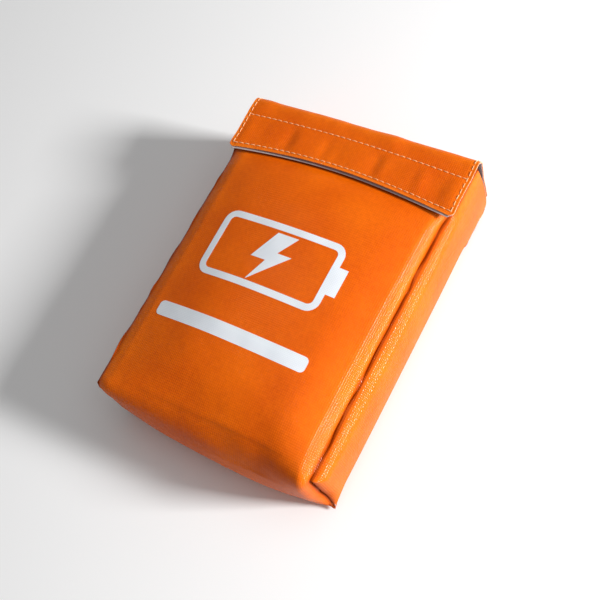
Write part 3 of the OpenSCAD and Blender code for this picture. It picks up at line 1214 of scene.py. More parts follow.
    def side_lips(self, grid: np.ndarray, side: Side, pattern: np.ndarray) -> tuple:
        """Adds the seam allowances along the three sewn edges of a side panel.

        Args:
            grid: Outer face of the panel.
            side: Which side it is on.
            pattern: Its flat pattern.

        Returns:
            The wider grid and the wider pattern.
        """
        rows, columns = grid.shape[:2]
        full = np.empty((rows + 1, columns + 2, 3))
        full[1:, 1:-1] = grid
        inward = np.array([-side.value, 0.0, 0.0])
        edge, corner = self.side_lap, self.corner_lap
        full[1:, 0] = grid[:, 0] + (inward + [0.0, 0.0, -1.0]) * edge
        full[1:, -1] = grid[:, -1] + (inward + [0.0, 0.0, 1.0]) * edge
        full[0, 1:-1] = grid[0] + (inward + [0.0, 1.0, 0.0]) * edge
        full[0, 0] = grid[0, 0] + (inward + [0.0, 1.0, -1.0]) * corner
        full[0, -1] = grid[0, -1] + (inward + [0.0, 1.0, 1.0]) * corner
        full[:, :, 2] = np.maximum(full[:, :, 2], 0.0)
        flat = np.empty((rows + 1, columns + 2, 2))
        flat[1:, 1:-1] = pattern
        flat[1:, 0] = pattern[:, 0] - [self.allowance, 0.0]
        flat[1:, -1] = pattern[:, -1] + [self.allowance, 0.0]
        flat[0] = flat[1] - [0.0, self.allowance]
        return full, flat

    def lining_of(self, grid: np.ndarray, pattern: np.ndarray) -> ClothSheet:
        """Lining that hangs a little inside a panel of the shell."""
        normals = grid_normals(grid, self.inside)
        inner = grid - normals * (self.size.shell + self.lining_gap)
        trim = self.lining_trim
        inner, pattern = inner[:, trim:-trim], pattern[:, trim:-trim]
        if len(grid) < 2 * self.long:
            inner, pattern = inner[trim:], pattern[trim:]
        for _ in range(3):
            inner[1:-1, 1:-1] = (
                inner[:-2, 1:-1] + inner[2:, 1:-1] + inner[1:-1, :-2] + inner[1:-1, 2:]
            ) / 4.0
        return ClothSheet(inner, pattern, self.size.lining)


# ---------------------------------------------------------------------------
# The flap
# ---------------------------------------------------------------------------


@dataclass
class Flap:
    """The flap: outer cloth and lining, sewn together, folded over the mouth."""

    size: PouchSize
    body: PouchBody
    step: float = 1.35 * MM
    lead: float = 6.0 * MM
    lift: float = 0.6 * MM
    roll_up: float = 0.2 * MM
    puff: float = 0.6 * MM
    fold_arch: float = 0.8 * MM
    hem_arch: float = 6.4 * MM
    tight: float = 1.0 * MM
    gape: float = 1.4 * MM
    corner: float = 3.0 * MM
    waist: float = 4.5 * MM
    hem_row: float = 3.0 * MM
    middle_row: float = 29.0 * MM
    edge_row: float = 2.5 * MM
    row_sink: float = 0.32 * MM
    edge_sink: float = 0.28 * MM
    row_spread: float = 1.5 * MM
    ply_gap: float = 0.12 * MM
    lining_trim: float = 0.35 * MM
    overhang: float = 1.3 * MM
    strip: tuple = (-0.5 * MM, 0.0, 0.5 * MM)
    arch_ramp: tuple = (-16.0 * MM, 20.0 * MM)
    gape_run: float = 14.0 * MM
    waist_fade: tuple = (2.0 * MM, 10.0 * MM)
    front_wave: Ripple = Ripple(-0.25 * MM, 0.75 * MM, 40.0 * MM, 3)
    shoulder_wave: Ripple = Ripple(0.1 * MM, 0.5 * MM, 60.0 * MM, 5)
    belly_wave: Ripple = Ripple(-0.6 * MM, 0.5 * MM, 75.0 * MM, 7)
    edge_wave: Ripple = Ripple(0.0, 0.25 * MM, 40.0 * MM, 23)

    def __post_init__(self) -> None:
        """Works out the cloth's length along its folds."""
        s = self.size
        self.arc = s.fold_radius * math.pi / 2.0
        self.rise = s.flap_z - 2.0 * s.fold_radius
        self.front = s.fold_y - s.hem_y
        self.root_end = self.lead + self.arc
        self.fold_start = self.root_end + self.rise
        self.fold_end = self.fold_start + self.arc
        self.length = self.fold_end + self.front
        self.middle = self.root_end + self.rise / 2.0

    def path(self, along: np.ndarray) -> tuple:
        """Place (y, z) and outward direction (y, z) at each distance along the flap."""
        s, r = self.size, self.size.fold_radius
        root = np.clip((along - self.lead) / r, 0.0, math.pi / 2.0)
        fold = np.clip((along - self.fold_start) / r, 0.0, math.pi / 2.0)
        angle = root + fold - math.pi / 2.0
        outward = np.stack([np.cos(angle), np.sin(angle)], axis=-1)
        start = np.minimum(along, self.lead) - self.lead
        up = np.clip(along - self.root_end, 0.0, self.rise)
        down = np.maximum(along - self.fold_end, 0.0)
        y = s.fold_y + start + r * outward[:, 0] - down
        z = r + up + r * outward[:, 1]
        return np.stack([y, z], axis=-1), outward

    def rise_of(self, x: np.ndarray, along: np.ndarray) -> np.ndarray:
        """How far the arched flap is pushed up beyond the mouth."""
        top = ramp(along - self.fold_start, *self.arch_ramp)
        hem = np.clip((along - self.fold_end) / self.front, 0.0, 1.0) ** 0.7
        upper = self.arc + self.front - self.middle_row
        fade = 1.0 - ramp(along, self.fold_start, upper)
        puff = self.puff * (1.0 + 0.6 * x / self.size.half_width) * top * fade
        arch = self.fold_arch * top + self.hem_arch * hem
        return arch * self.body.mouth_arch(x) + puff

    def swell(self, x: np.ndarray, along: np.ndarray) -> np.ndarray:
        """How far the sewn flap stands out from its plain folded shape."""
        s = self.size
        above = self.length - along
        hang = np.clip(1.0 - above / (self.front + 0.5 * self.arc), 0.0, 1.0)
        out = self.lift * hang**1.2 + self.roll_up * smoothstep(hang * 4.0)
        out = out * self.body.mouth_arch(x)
        between = np.clip(above / self.middle_row, 0.0, 1.0)
        billow = np.sin(math.pi * between) * (above < self.middle_row)
        out = out + billow * self.front_wave.at(x)
        upper = self.front - self.middle_row + self.arc
        shoulder = np.clip((above - self.middle_row) / upper, 0.0, 1.0)
        out = out + np.sin(math.pi * shoulder) * self.shoulder_wave.at(x)
        fold = np.clip((along - self.fold_start) / self.arc, 0.0, 1.0)
        out = out + self.tight * np.sin(math.pi * fold) ** 1.5
        top = np.clip((along - self.root_end) / self.rise, 0.0, 1.0)
        out = out + np.sin(math.pi * top) * self.belly_wave.at(x + 0.3 * along)
        for row in (self.hem_row, self.middle_row):
            out = out - self.row_sink * bump_at(above, row, self.row_spread)
        side = s.half_width - self.edge_row - np.abs(x)
        sewn = ramp(along, self.root_end, 6.0 * MM)
        return out - self.edge_sink * bump_at(side, 0.0, self.row_spread) * sewn

    def parting(self, across: np.ndarray, along: np.ndarray) -> np.ndarray:
        """How far the lining hangs away from the outer cloth near the hem."""
        low = ramp(along - self.length, -self.gape_run, self.gape_run)
        return self.gape * low[:, None] * self.body.mouth_arch(across)[None, :]

    def surface(
        self, across: np.ndarray, along: np.ndarray, inset: float | np.ndarray = 0.0
    ) -> np.ndarray:
        """Points of the flap at a depth below its outer face.

        Args:
            across: Places across the cloth, from the left edge at minus half the width.
            along: Places along the cloth, from the back panel to the hem.
            inset: Depth below the outer face.

        Returns:
            A grid of points with a row for each place along the cloth.
        """
        s = self.size
        place, outward = self.path(along)
        above = self.length - along
        round_off = self.corner - np.sqrt(
            np.maximum(self.corner**2 - np.clip(self.corner - above, 0.0, self.corner) ** 2, 0.0)
        )
        waist = self.waist * (1.0 - ramp(along - self.root_end, *self.waist_fade))
        waist = waist * ramp(along, 0.0, self.root_end)
        narrow = 1.0 - (round_off + self.edge_wave.at(along) + waist)[:, None] / s.half_width
        x = across[None, :] * narrow
        near = s.half_width - np.abs(across)[None, :]
        join = 1.0 - smoothstep(along / (self.lead + 0.5 * self.arc))[:, None]
        pinch = self.body.pinch_at(np.array([s.fold_y]))[0] * join
        from_edge = near * (1.0 - pinch) + pinch * self.body.roll.inset(near)
        pinched = np.sign(across)[None, :] * (s.half_width - from_edge) * narrow
        x = np.where(join > 0.0, pinched, x)
        lift = self.swell(across[None, :], along[:, None])
        drop = pinch * self.body.roll.drop(near)
        depth = lift * (1.0 - join) - drop - inset
        points = np.empty((len(along), len(across), 3))
        points[:, :, 0] = x
        points[:, :, 1] = place[:, None, 0] + outward[:, None, 0] * depth
        points[:, :, 2] = place[:, None, 1] + outward[:, None, 1] * depth
        points[:, :, 1] += self.rise_of(across[None, :], along[:, None])
        return points

    def sheet(
        self, start: float, end: float, inset: float, thickness: float, trim: float
    ) -> ClothSheet:
        """One layer of the flap between two places along it.

        Args:
            start: Where the layer starts along the flap.
            end: Where it ends.
            inset: Depth of its outer face below the flap's.
            thickness: Its thickness.
            trim: How much narrower it is at each side edge.

        Returns:
            The layer, ready to be built.
        """
        s = self.size
        half = s.half_width - trim
        across = np.linspace(-half, half, 2 * round(half / self.step) + 1)
        along = np.linspace(start, end, 2 * round((end - start) / self.step / 2.0) + 1)
        if inset > 0.0:
            inset = inset + self.parting(across, along)
        points = self.surface(across, along, inset)
        pattern = np.stack(np.meshgrid(across, along), axis=-1)
        # Lighter along the side edges and the hem as rubbed wear with a painted highlight, and
        # lighter on the fold crest.
        edge = np.minimum(half - np.abs(pattern[:, :, 0]), self.length - pattern[:, :, 1])
        folds = bump_at(pattern[:, :, 1], self.fold_start + self.arc / 2.0, 5.0 * MM)
        wear = np.clip(np.exp(-edge / (2.0 * MM)) + 0.5 * folds, 0.0, 1.0)
        return ClothSheet(points, pattern, thickness, wear)

    def build(self, looks: Finishes) -> dict:
        """Makes both layers, each split halfway up the top section.

        Args:
            looks: The pouch's finishes.

        Returns:
            The new pieces by name.
        """
        s = self.size
        inside = self.body.inside
        cloth = [looks.shell, looks.shell, looks.shell_edge]
        lined = [looks.lining, looks.lining, looks.lining_edge]
        outer = (0.0, s.shell, 0.0)
        inner = (s.shell + self.ply_gap, s.lining - self.ply_gap, self.lining_trim)
        low = self.length + self.overhang
        layers = {
            "root": ("flap_root_and_lower_top_cloth", 0.0, self.middle, outer, cloth),
            "front": ("flap_upper_top_and_front_cloth", self.middle, self.length, outer, cloth),
            "root_lining": ("flap_root_and_lower_top_lining", self.lead, self.middle, inner, lined),
            "front_lining": ("flap_upper_top_and_front_lining", self.middle, low, inner, lined),
        }
        return {
            label: self.sheet(start, end, *layer).build(name, inside, finish)
            for label, (name, start, end, layer, finish) in layers.items()
        }

    def row_across(self, above: float, reach: float) -> tuple:
        """Guide line of a stitch row parallel to the hem.

        Args:
            above: Distance of the row above the hem.
            reach: How far the row runs to either side.

        Returns:
            The points of the line and their outward directions.
        """
        across = np.linspace(-reach, reach, 181)
        grid = self.surface(across, self.length - above + np.array(self.strip))
        return grid[1], grid_normals(grid, self.body.inside)[1]

    def row_along(self, side: Side, start: float, end: float) -> tuple:
        """Guide line of a stitch row beside a side edge.

        Args:
            side: Which side edge.
            start: Where the row starts along the flap.
            end: Where it ends.

        Returns:
            The points of the line and their outward directions.
        """
        x = side.value * (self.size.half_width - self.edge_row)
        along = np.linspace(start, end, 60)
        grid = self.surface(x + np.array(self.strip), along)
        return grid[:, 1], grid_normals(grid, self.body.inside)[:, 1]


# ---------------------------------------------------------------------------
# Stitches and tape piles, laid by Geometry Nodes
# ---------------------------------------------------------------------------


@dataclass
class RepeatTree:
    """Geometry Nodes tree that lays copies of one small shape along lines or on points."""

    name: str
    along_lines: bool
    scale_range: tuple = (0.93, 1.05)
    inputs: dict = field(default_factory=dict)
    tree: bpy.types.NodeTree | None = None

    def join(self, out: bpy.types.NodeSocket, into: bpy.types.NodeSocket) -> None:
        """Joins two sockets."""
        self.tree.links.new(out, into)

    def add(self, kind: str, **feeds: bpy.types.NodeSocket) -> bpy.types.Node:
        """Adds a node and feeds its named inputs."""
        node = self.tree.nodes.new(kind)
        for label, out in feeds.items():
            self.join(out, node.inputs[label])
        return node

    def attribute(self, name: str) -> bpy.types.NodeSocket:
        """Reads a vector attribute of the guide."""
        node = self.add("GeometryNodeInputNamedAttribute")
        node.data_type = "FLOAT_VECTOR"
        node.inputs["Name"].default_value = name
        return node.outputs["Attribute"]

    def facing(self, start: bpy.types.Node) -> bpy.types.NodeSocket:
        """Turns each copy along its guide, outwards, and a little at random.

        Args:
            start: The tree's input node.

        Returns:
            The rotation of every copy.
        """
        along = self.add("FunctionNodeAlignRotationToVector", Vector=self.attribute("ahead"))
        along.axis = "X"
        out = self.add(
            "FunctionNodeAlignRotationToVector",
            Rotation=along.outputs["Rotation"], Vector=self.attribute("outward"),
        )
        out.axis = "Z"
        out.pivot_axis = "X"
        spin = self.add("ShaderNodeCombineXYZ", Z=start.outputs["spin"])
        flip = self.add("ShaderNodeVectorMath")
        flip.operation = "SCALE"
        flip.inputs["Scale"].default_value = -1.0
        self.join(spin.outputs[0], flip.inputs[0])
        chance = self.add("FunctionNodeRandomValue", Seed=start.outputs["seed"])
        chance.data_type = "FLOAT_VECTOR"
        self.join(flip.outputs[0], chance.inputs[0])
        self.join(spin.outputs[0], chance.inputs[1])
        turn = self.add("FunctionNodeRotateRotation", Rotation=out.outputs["Rotation"])
        turn.rotation_space = "LOCAL"
        self.join(chance.outputs[0], turn.inputs["Rotate By"])
        return turn.outputs["Rotation"]

    def build(self) -> bpy.types.NodeTree:
        """Makes the tree.

        Returns:
            The tree, whose named inputs are pitch, shape, finish, spin and seed.
        """
        tree = self.tree = bpy.data.node_groups.new(self.name, "GeometryNodeTree")
        face = tree.interface
        face.new_socket("guide", in_out="INPUT", socket_type="NodeSocketGeometry")
        for label, kind in (
            ("pitch", "NodeSocketFloat"),
            ("shape", "NodeSocketObject"),
            ("finish", "NodeSocketMaterial"),
            ("spin", "NodeSocketFloat"),
            ("seed", "NodeSocketInt"),
        ):
            socket = face.new_socket(label, in_out="INPUT", socket_type=kind)
            self.inputs[label] = socket.identifier
        face.new_socket("pieces", in_out="OUTPUT", socket_type="NodeSocketGeometry")
        start, end = self.add("NodeGroupInput"), self.add("NodeGroupOutput")
        guide = start.outputs["guide"]
        if self.along_lines:
            curve = self.add("GeometryNodeMeshToCurve", Mesh=guide)
            resample = self.add("GeometryNodeResampleCurve", Curve=curve.outputs["Curve"])
            resample.mode = "LENGTH"
            self.join(start.outputs["pitch"], resample.inputs["Length"])
            guide = resample.outputs["Curve"]
        turn = self.facing(start)
        size = self.add("FunctionNodeRandomValue", Seed=start.outputs["seed"])
        size.data_type = "FLOAT"
        size.inputs[2].default_value, size.inputs[3].default_value = self.scale_range
        shape = self.add("GeometryNodeObjectInfo", Object=start.outputs["shape"])
        lay = self.add(
            "GeometryNodeInstanceOnPoints",
            Points=guide, Instance=shape.outputs["Geometry"], Rotation=turn, Scale=size.outputs[1],
        )
        real = self.add("GeometryNodeRealizeInstances", Geometry=lay.outputs["Instances"])
        finish = self.add(
            "GeometryNodeSetMaterial",
            Geometry=real.outputs["Geometry"], Material=start.outputs["finish"],
        )
        self.join(finish.outputs["Geometry"], end.inputs["pieces"])
        return tree


@dataclass
class Repeater:
    """Lays small shapes on guides and turns the result into plain meshes."""

    tree: bpy.types.NodeTree
    spec: RepeatTree

    @classmethod
    def along_lines(cls) -> "Repeater":
        """Returns a repeater that spaces its shapes along lines."""
        spec = RepeatTree("stitch_rows", True)
        return cls(spec.build(), spec)

    @classmethod
    def on_points(cls) -> "Repeater":
        """Returns a repeater that puts a shape on every point."""
        spec = RepeatTree("tape_pile", False)
        return cls(spec.build(), spec)

    def lay(
        self,
        name: str,
        guides: list,
        shape: bpy.types.Object,
        finish: bpy.types.Material,
        pitch: float = 1.0,
        spin: float = 0.0,
        seed: int = 1,
    ) -> bpy.types.Object:
        """Lays the shape on every guide.

        Args:
            name: Name of the new piece.
            guides: For each guide its points and their outward directions.
            shape: The small shape, with X along the guide and Z outwards.
            finish: Material of the copies.
            pitch: Distance between copies along a line.
            spin: Largest random turn about the outward direction.
            seed: Seed of the random turns and sizes.

        Returns:
            The copies as one plain mesh.
        """
        points, edges, ahead, outward = [], [], [], []
        count = 0
        for line, normals in guides:
            points.append(line)
            outward.append(normals)
            ahead.append(np.gradient(line, axis=0))
            if self.spec.along_lines:
                edges += [(count + i, count + i + 1) for i in range(len(line) - 1)]
            count += len(line)
        mesh = bpy.data.meshes.new(name + "_guide")
        mesh.from_pydata(np.concatenate(points).tolist(), edges, [])
        for label, values in (("ahead", ahead), ("outward", outward)):
            attribute = mesh.attributes.new(label, "FLOAT_VECTOR", "POINT")
            flat = np.concatenate(values).astype(np.float32).ravel()
            attribute.data.foreach_set("vector", flat)
        guide = bpy.data.objects.new(name + "_guide", mesh)
        bpy.context.scene.collection.objects.link(guide)
        modifier = guide.modifiers.new("repeat", "NODES")
        modifier.node_group = self.tree
        ids = self.spec.inputs
        modifier[ids["pitch"]] = pitch
        modifier[ids["shape"]] = shape
        modifier[ids["finish"]] = finish
        modifier[ids["spin"]] = spin
        modifier[ids["seed"]] = seed
        graph = bpy.context.evaluated_depsgraph_get()
        plain = bpy.data.meshes.new_from_object(guide.evaluated_get(graph))
        bpy.data.objects.remove(guide)
        plain.name = name
        plain.polygons.foreach_set("use_smooth", np.ones(len(plain.polygons), bool))
        obj = bpy.data.objects.new(name, plain)
        bpy.context.scene.collection.objects.link(obj)
        return obj


STRAND_RELIEF = 0.14


def tube_shape(
    name: str, spine: np.ndarray, radius: np.ndarray, sides: int, twist: float = 0.0
) -> bpy.types.Object:
    """Makes a small closed tube in the XZ plane, hidden from the render.

    Args:
        name: Name of the shape.
        spine: Places (x, z) of its rings.
        radius: Radius of each ring.
        sides: Corners of each ring.
        twist: Turns of the strands along the tube.

    Returns:
        The small shape's object.
    """
    ahead = np.gradient(spine, axis=0)
    ahead /= np.linalg.norm(ahead, axis=1, keepdims=True)
    rings = []
    for i, (place, way) in enumerate(zip(spine, ahead)):
        angle = np.arange(sides) / sides * 2.0 * math.pi
        strand = 2.0 * angle + 2.0 * math.pi * twist * i / len(spine)
        lobes = 1.0 + STRAND_RELIEF * np.cos(strand)
        side = radius[i] * lobes * np.cos(angle)
        up = radius[i] * lobes * np.sin(angle)
        rings.append(np.stack([place[0] - way[1] * up, side, place[1] + way[0] * up], axis=1))
    faces = []
    for i in range(len(spine) - 1):
        for j in range(sides):
            k = (j + 1) % sides
            a, b = i * sides, (i + 1) * sides
            faces.append((a + j, b + j, b + k, a + k))
    faces.append(tuple(range(sides)))
    last = (len(spine) - 1) * sides
    faces.append(tuple(last + j for j in reversed(range(sides))))
    obj = new_mesh(name, np.concatenate(rings), faces)
    obj.hide_render = True
    return obj


@dataclass
class Sewing:
    """All the visible sewing thread."""

    size: PouchSize
    flap: Flap
    repeater: Repeater
    pitch: float = 4.7 * MM
    length: float = 4.0 * MM
    radius: float = 0.31 * MM
    crest: float = 0.34 * MM
    dip: float = 0.62 * MM
    spin: float = 0.05
    seam_inset: float = 2.2 * MM
    seam_depth: float = 1.6 * MM
    row_inset: float = 4.2 * MM

    def stitch(self) -> bpy.types.Object:
        """Makes one stitch: a twisted thread that dips into the cloth at both ends."""
        t = np.linspace(-1.0, 1.0, 9)
        x = t * self.length / 2.0
        z = self.crest - self.dip * np.abs(t) ** 3.5
        thick = self.radius * (1.0 - 0.35 * np.abs(t) ** 4)
        return tube_shape("one_stitch", np.stack([x, z], axis=1), thick, 6, 1.5)

    def seam_row(self, wrap: np.ndarray, side: Side) -> tuple:
        """Guide line of the seam beside a side panel, on its seam allowance."""
        column = wrap[:, 0] if side is Side.LEFT else wrap[:, -1]
        inward = np.array([-side.value, 0.0, 0.0])
        line = column + inward * self.seam_inset
        centre = np.array([0.0, self.flap.body.inside[1], self.flap.body.inside[2]])
        outward = (line - centre) * np.array([0.0, 1.0, 1.0])
        outward /= np.linalg.norm(outward, axis=1, keepdims=True)
        return line - outward * self.seam_depth, outward

    def build(self, looks: Finishes, wrap: np.ndarray, loop_rows: list) -> dict:
        """Sews the rows of the flap, the side seams and the loop tape.

        Args:
            looks: The pouch's finishes.
            wrap: Grid of the wrap's outer face.
            loop_rows: Guide lines round the loop tape.

        Returns:
            The new pieces by name.
        """
        flap, s = self.flap, self.size
        stitch = self.stitch()
        reach = s.half_width - self.row_inset
        front = flap.middle + 4.0 * MM, flap.length - flap.hem_row - 1.6 * MM
        top = flap.root_end + 4.0 * MM, flap.middle - 1.0 * MM
        rows = {
            "right_seam": ("right_side_seam_stitches", [self.seam_row(wrap, Side.RIGHT)], 11),
            "left_seam": ("left_side_seam_stitches", [self.seam_row(wrap, Side.LEFT)], 12),
            "loop_tape": ("loop_tape_topstitching", loop_rows, 15),
            "hem": ("hem_topstitching", [flap.row_across(flap.hem_row, reach)], 3),
            "middle": ("hook_tape_topstitching", [flap.row_across(flap.middle_row, reach)], 5),
            "front_edges": (
                "flap_front_edge_topstitching", [flap.row_along(side, *front) for side in Side], 7
            ),
            "top_edges": (
                "flap_top_edge_topstitching", [flap.row_along(side, *top) for side in Side], 9
            ),
        }
        return {
            label: self.repeater.lay(
                name, guides, stitch, looks.thread, self.pitch, self.spin, seed
            )
            for label, (name, guides, seed) in rows.items()
        }


# ---------------------------------------------------------------------------
# Closure tapes and print
# ---------------------------------------------------------------------------


@dataclass
class FrontFace:
    """Outer face of the puffed wrap, onto which flat work is laid from above."""

    wrap: np.ndarray
    height: float
    tree: BVHTree | None = None

    def __post_init__(self) -> None:
        """Makes the search tree of the surface."""
        rows, columns = self.wrap.shape[:2]
        index = np.arange(rows * columns).reshape(rows, columns)
        corners = [index[:-1, :-1], index[:-1, 1:], index[1:, 1:], index[1:, :-1]]
        quads = np.stack(corners, axis=-1).reshape(-1, 4)
        self.tree = BVHTree.FromPolygons(self.wrap.reshape(-1, 3).tolist(), quads.tolist())

    def lay(self, x: np.ndarray, y: np.ndarray, height: float) -> tuple:
        """Points on the front below given places, raised by a height.

        Args:
            x: Places across the front.
            y: Places up the front.
            height: Distance of the points above the surface.

        Returns:
            The points and the outward directions, in the shape of the places.
        """
        points = np.empty((*x.shape, 3))
        normals = np.empty((*x.shape, 3))
        for at in np.ndindex(x.shape):
            above = Vector((x[at], y[at], self.height))
            hit, normal, _, _ = self.tree.ray_cast(above, Vector((0.0, 0.0, -1.0)))
            if hit is None:
                hit, normal, _, _ = self.tree.find_nearest(above)
            if normal.z < 0.0:
                normal = -normal
            points[at] = hit + normal * height
            normals[at] = normal
        return points, normals


@dataclass
class ClosureTapes:
    """Hook tape under the flap and loop tape on the front, with their piles."""

    size: PouchSize
    flap: Flap
    face: FrontFace
    repeater: Repeater
    end_inset: float = 6.0 * MM
    hem_inset: float = 1.0 * MM
    width: float = 30.0 * MM
    ground: float = 0.4 * MM
    selvedge: float = 3.0 * MM
    hook_pitch: float = 1.45 * MM
    loop_pitch: float = 1.35 * MM
    scatter: float = 0.12
    hook_spin: float = 0.5
    loop_spin: float = 1.5
    clear: float = 0.05 * MM
    pile_rise: float = 0.03 * MM
    stitch_inset: float = 2.0 * MM
    corner_gap: float = 3.0 * MM

    def hook(self) -> bpy.types.Object:
        """Makes one hook: a monofilament that turns over at its tip."""
        spine = np.array(
            [[0.0, -0.05], [0.0, 0.45], [0.12, 0.72], [0.36, 0.74], [0.46, 0.52]]
        ) * MM
        radius = np.array([0.13, 0.12, 0.12, 0.11, 0.08]) * MM
        return tube_shape("one_hook", spine, radius, 4)

    def loop(self) -> bpy.types.Object:
        """Makes one loop of the pile."""
        spine = np.array(
            [[-0.42, -0.05], [-0.34, 0.34], [0.0, 0.56], [0.34, 0.34], [0.42, -0.05]]
        ) * MM
        radius = np.array([0.10, 0.11, 0.12, 0.11, 0.10]) * MM
        return tube_shape("one_loop", spine, radius, 4)

    def build(self, looks: Finishes) -> dict:
        """Makes both tapes.

        Args:
            looks: The pouch's finishes.

        Returns:
            The new pieces by name.
        """
        reach = self.size.half_width - self.end_inset
        return {**self.hook_side(looks, reach), **self.loop_side(looks, reach)}

    def hook_side(self, looks: Finishes, reach: float) -> dict:
        """Makes the hook tape on the flap's lining.

        Args:
            looks: The pouch's finishes.
            reach: Half the tape's length.

        Returns:
            The ground and the hooks by name.
        """
        s, flap = self.size, self.flap
        inside = flap.body.inside
        end = flap.length - self.hem_inset
        start = end - self.width
        under = s.shell + s.lining + self.clear
        tape = flap.sheet(start, end, under, self.ground, self.end_inset)
        ground = tape.build("hook_tape_ground", inside, [looks.hooks] * 3)
        across, along = self.places(reach, start, end, self.hook_pitch, 31)
        guides = []
        for places, distances in zip(across, along):
            band = distances.mean() + np.array(flap.strip)
            depth = under + self.ground + flap.parting(places, band)
            grid = flap.surface(places, band, depth)
            guides.append((grid[1], -grid_normals(grid, inside)[1]))
        points, outward = (np.concatenate(part) for part in zip(*guides))
        hooks = self.repeater.lay(
            "hook_tape_hooks", [(points, outward)], self.hook(), looks.hooks,
            spin=self.hook_spin, seed=13,
        )
        return {"hook_ground": ground, "hooks": hooks}

    def loop_side(self, looks: Finishes, reach: float) -> dict:
        """Makes the loop tape on the front.

        Args:
            looks: The pouch's finishes.
            reach: Half the tape's length.

        Returns:
            The ground and the loops by name.
        """
        low = self.size.hem_y + self.hem_inset
        high = low + self.width
        pattern = np.stack(
            np.meshgrid(np.linspace(-reach, reach, 85), np.linspace(high, low, 16)), axis=-1
        )
        height = self.ground + self.pile_rise
        top, _ = self.on_front(pattern[:, :, 0], pattern[:, :, 1], height)
        ground = ClothSheet(top, pattern, self.ground).build(
            "loop_tape_ground", self.flap.body.inside, [looks.loops] * 3
        )
        across, up = self.places(reach, low, high, self.loop_pitch, 37)
        points, outward = self.on_front(across, up, height)
        loops = self.repeater.lay(
            "loop_tape_loops", [(points.reshape(-1, 3), outward.reshape(-1, 3))],
            self.loop(), looks.loops, spin=self.loop_spin, seed=17,
        )
        return {"loop_ground": ground, "loops": loops}

    def on_front(self, x: np.ndarray, y: np.ndarray, height: float) -> tuple:
        """Lays places of the flat front on the arched one, as points and outward directions."""
        return self.face.lay(x, y + self.flap.body.rise_at(x, y), height)

    def places(self, reach: float, start: float, end: float, pitch: float, seed: int) -> tuple:
        """Staggered places of a pile between the two selvedges of a tape.

        Args:
            reach: Half the tape's length.
            start: Where the tape starts along the cloth.
            end: Where the tape ends along the cloth.
            pitch: Distance between neighbours.
            seed: Seed of the small scatter.

        Returns:
            The places across and along, as grids.
        """
        chance = np.random.default_rng(seed)
        rows = np.arange(start + self.selvedge, end - self.selvedge + 1e-6, pitch)
        columns = np.arange(-reach + 1.5 * pitch, reach - 1.5 * pitch, pitch)
        across, along = np.meshgrid(columns, rows)
        across = across + (np.arange(len(rows)) % 2)[:, None] * pitch / 2.0
        across = across + chance.uniform(-self.scatter, self.scatter, across.shape) * pitch
        return across, along

    def loop_rows(self) -> list:
        """Guide lines of the stitches round the loop tape."""
        low = self.size.hem_y + self.hem_inset + self.stitch_inset
        high = low + self.width - 2.0 * self.stitch_inset
        reach = self.size.half_width - self.end_inset - self.stitch_inset
        x = np.linspace(-reach, reach, 120)
        y = np.linspace(low + self.corner_gap, high - self.corner_gap, 24)
        rows = [(x, np.full_like(x, place)) for place in (low, high)]
        rows += [(np.full_like(y, side.value * reach), y) for side in Side]
        return [self.on_front(*row, self.ground + self.clear) for row in rows]


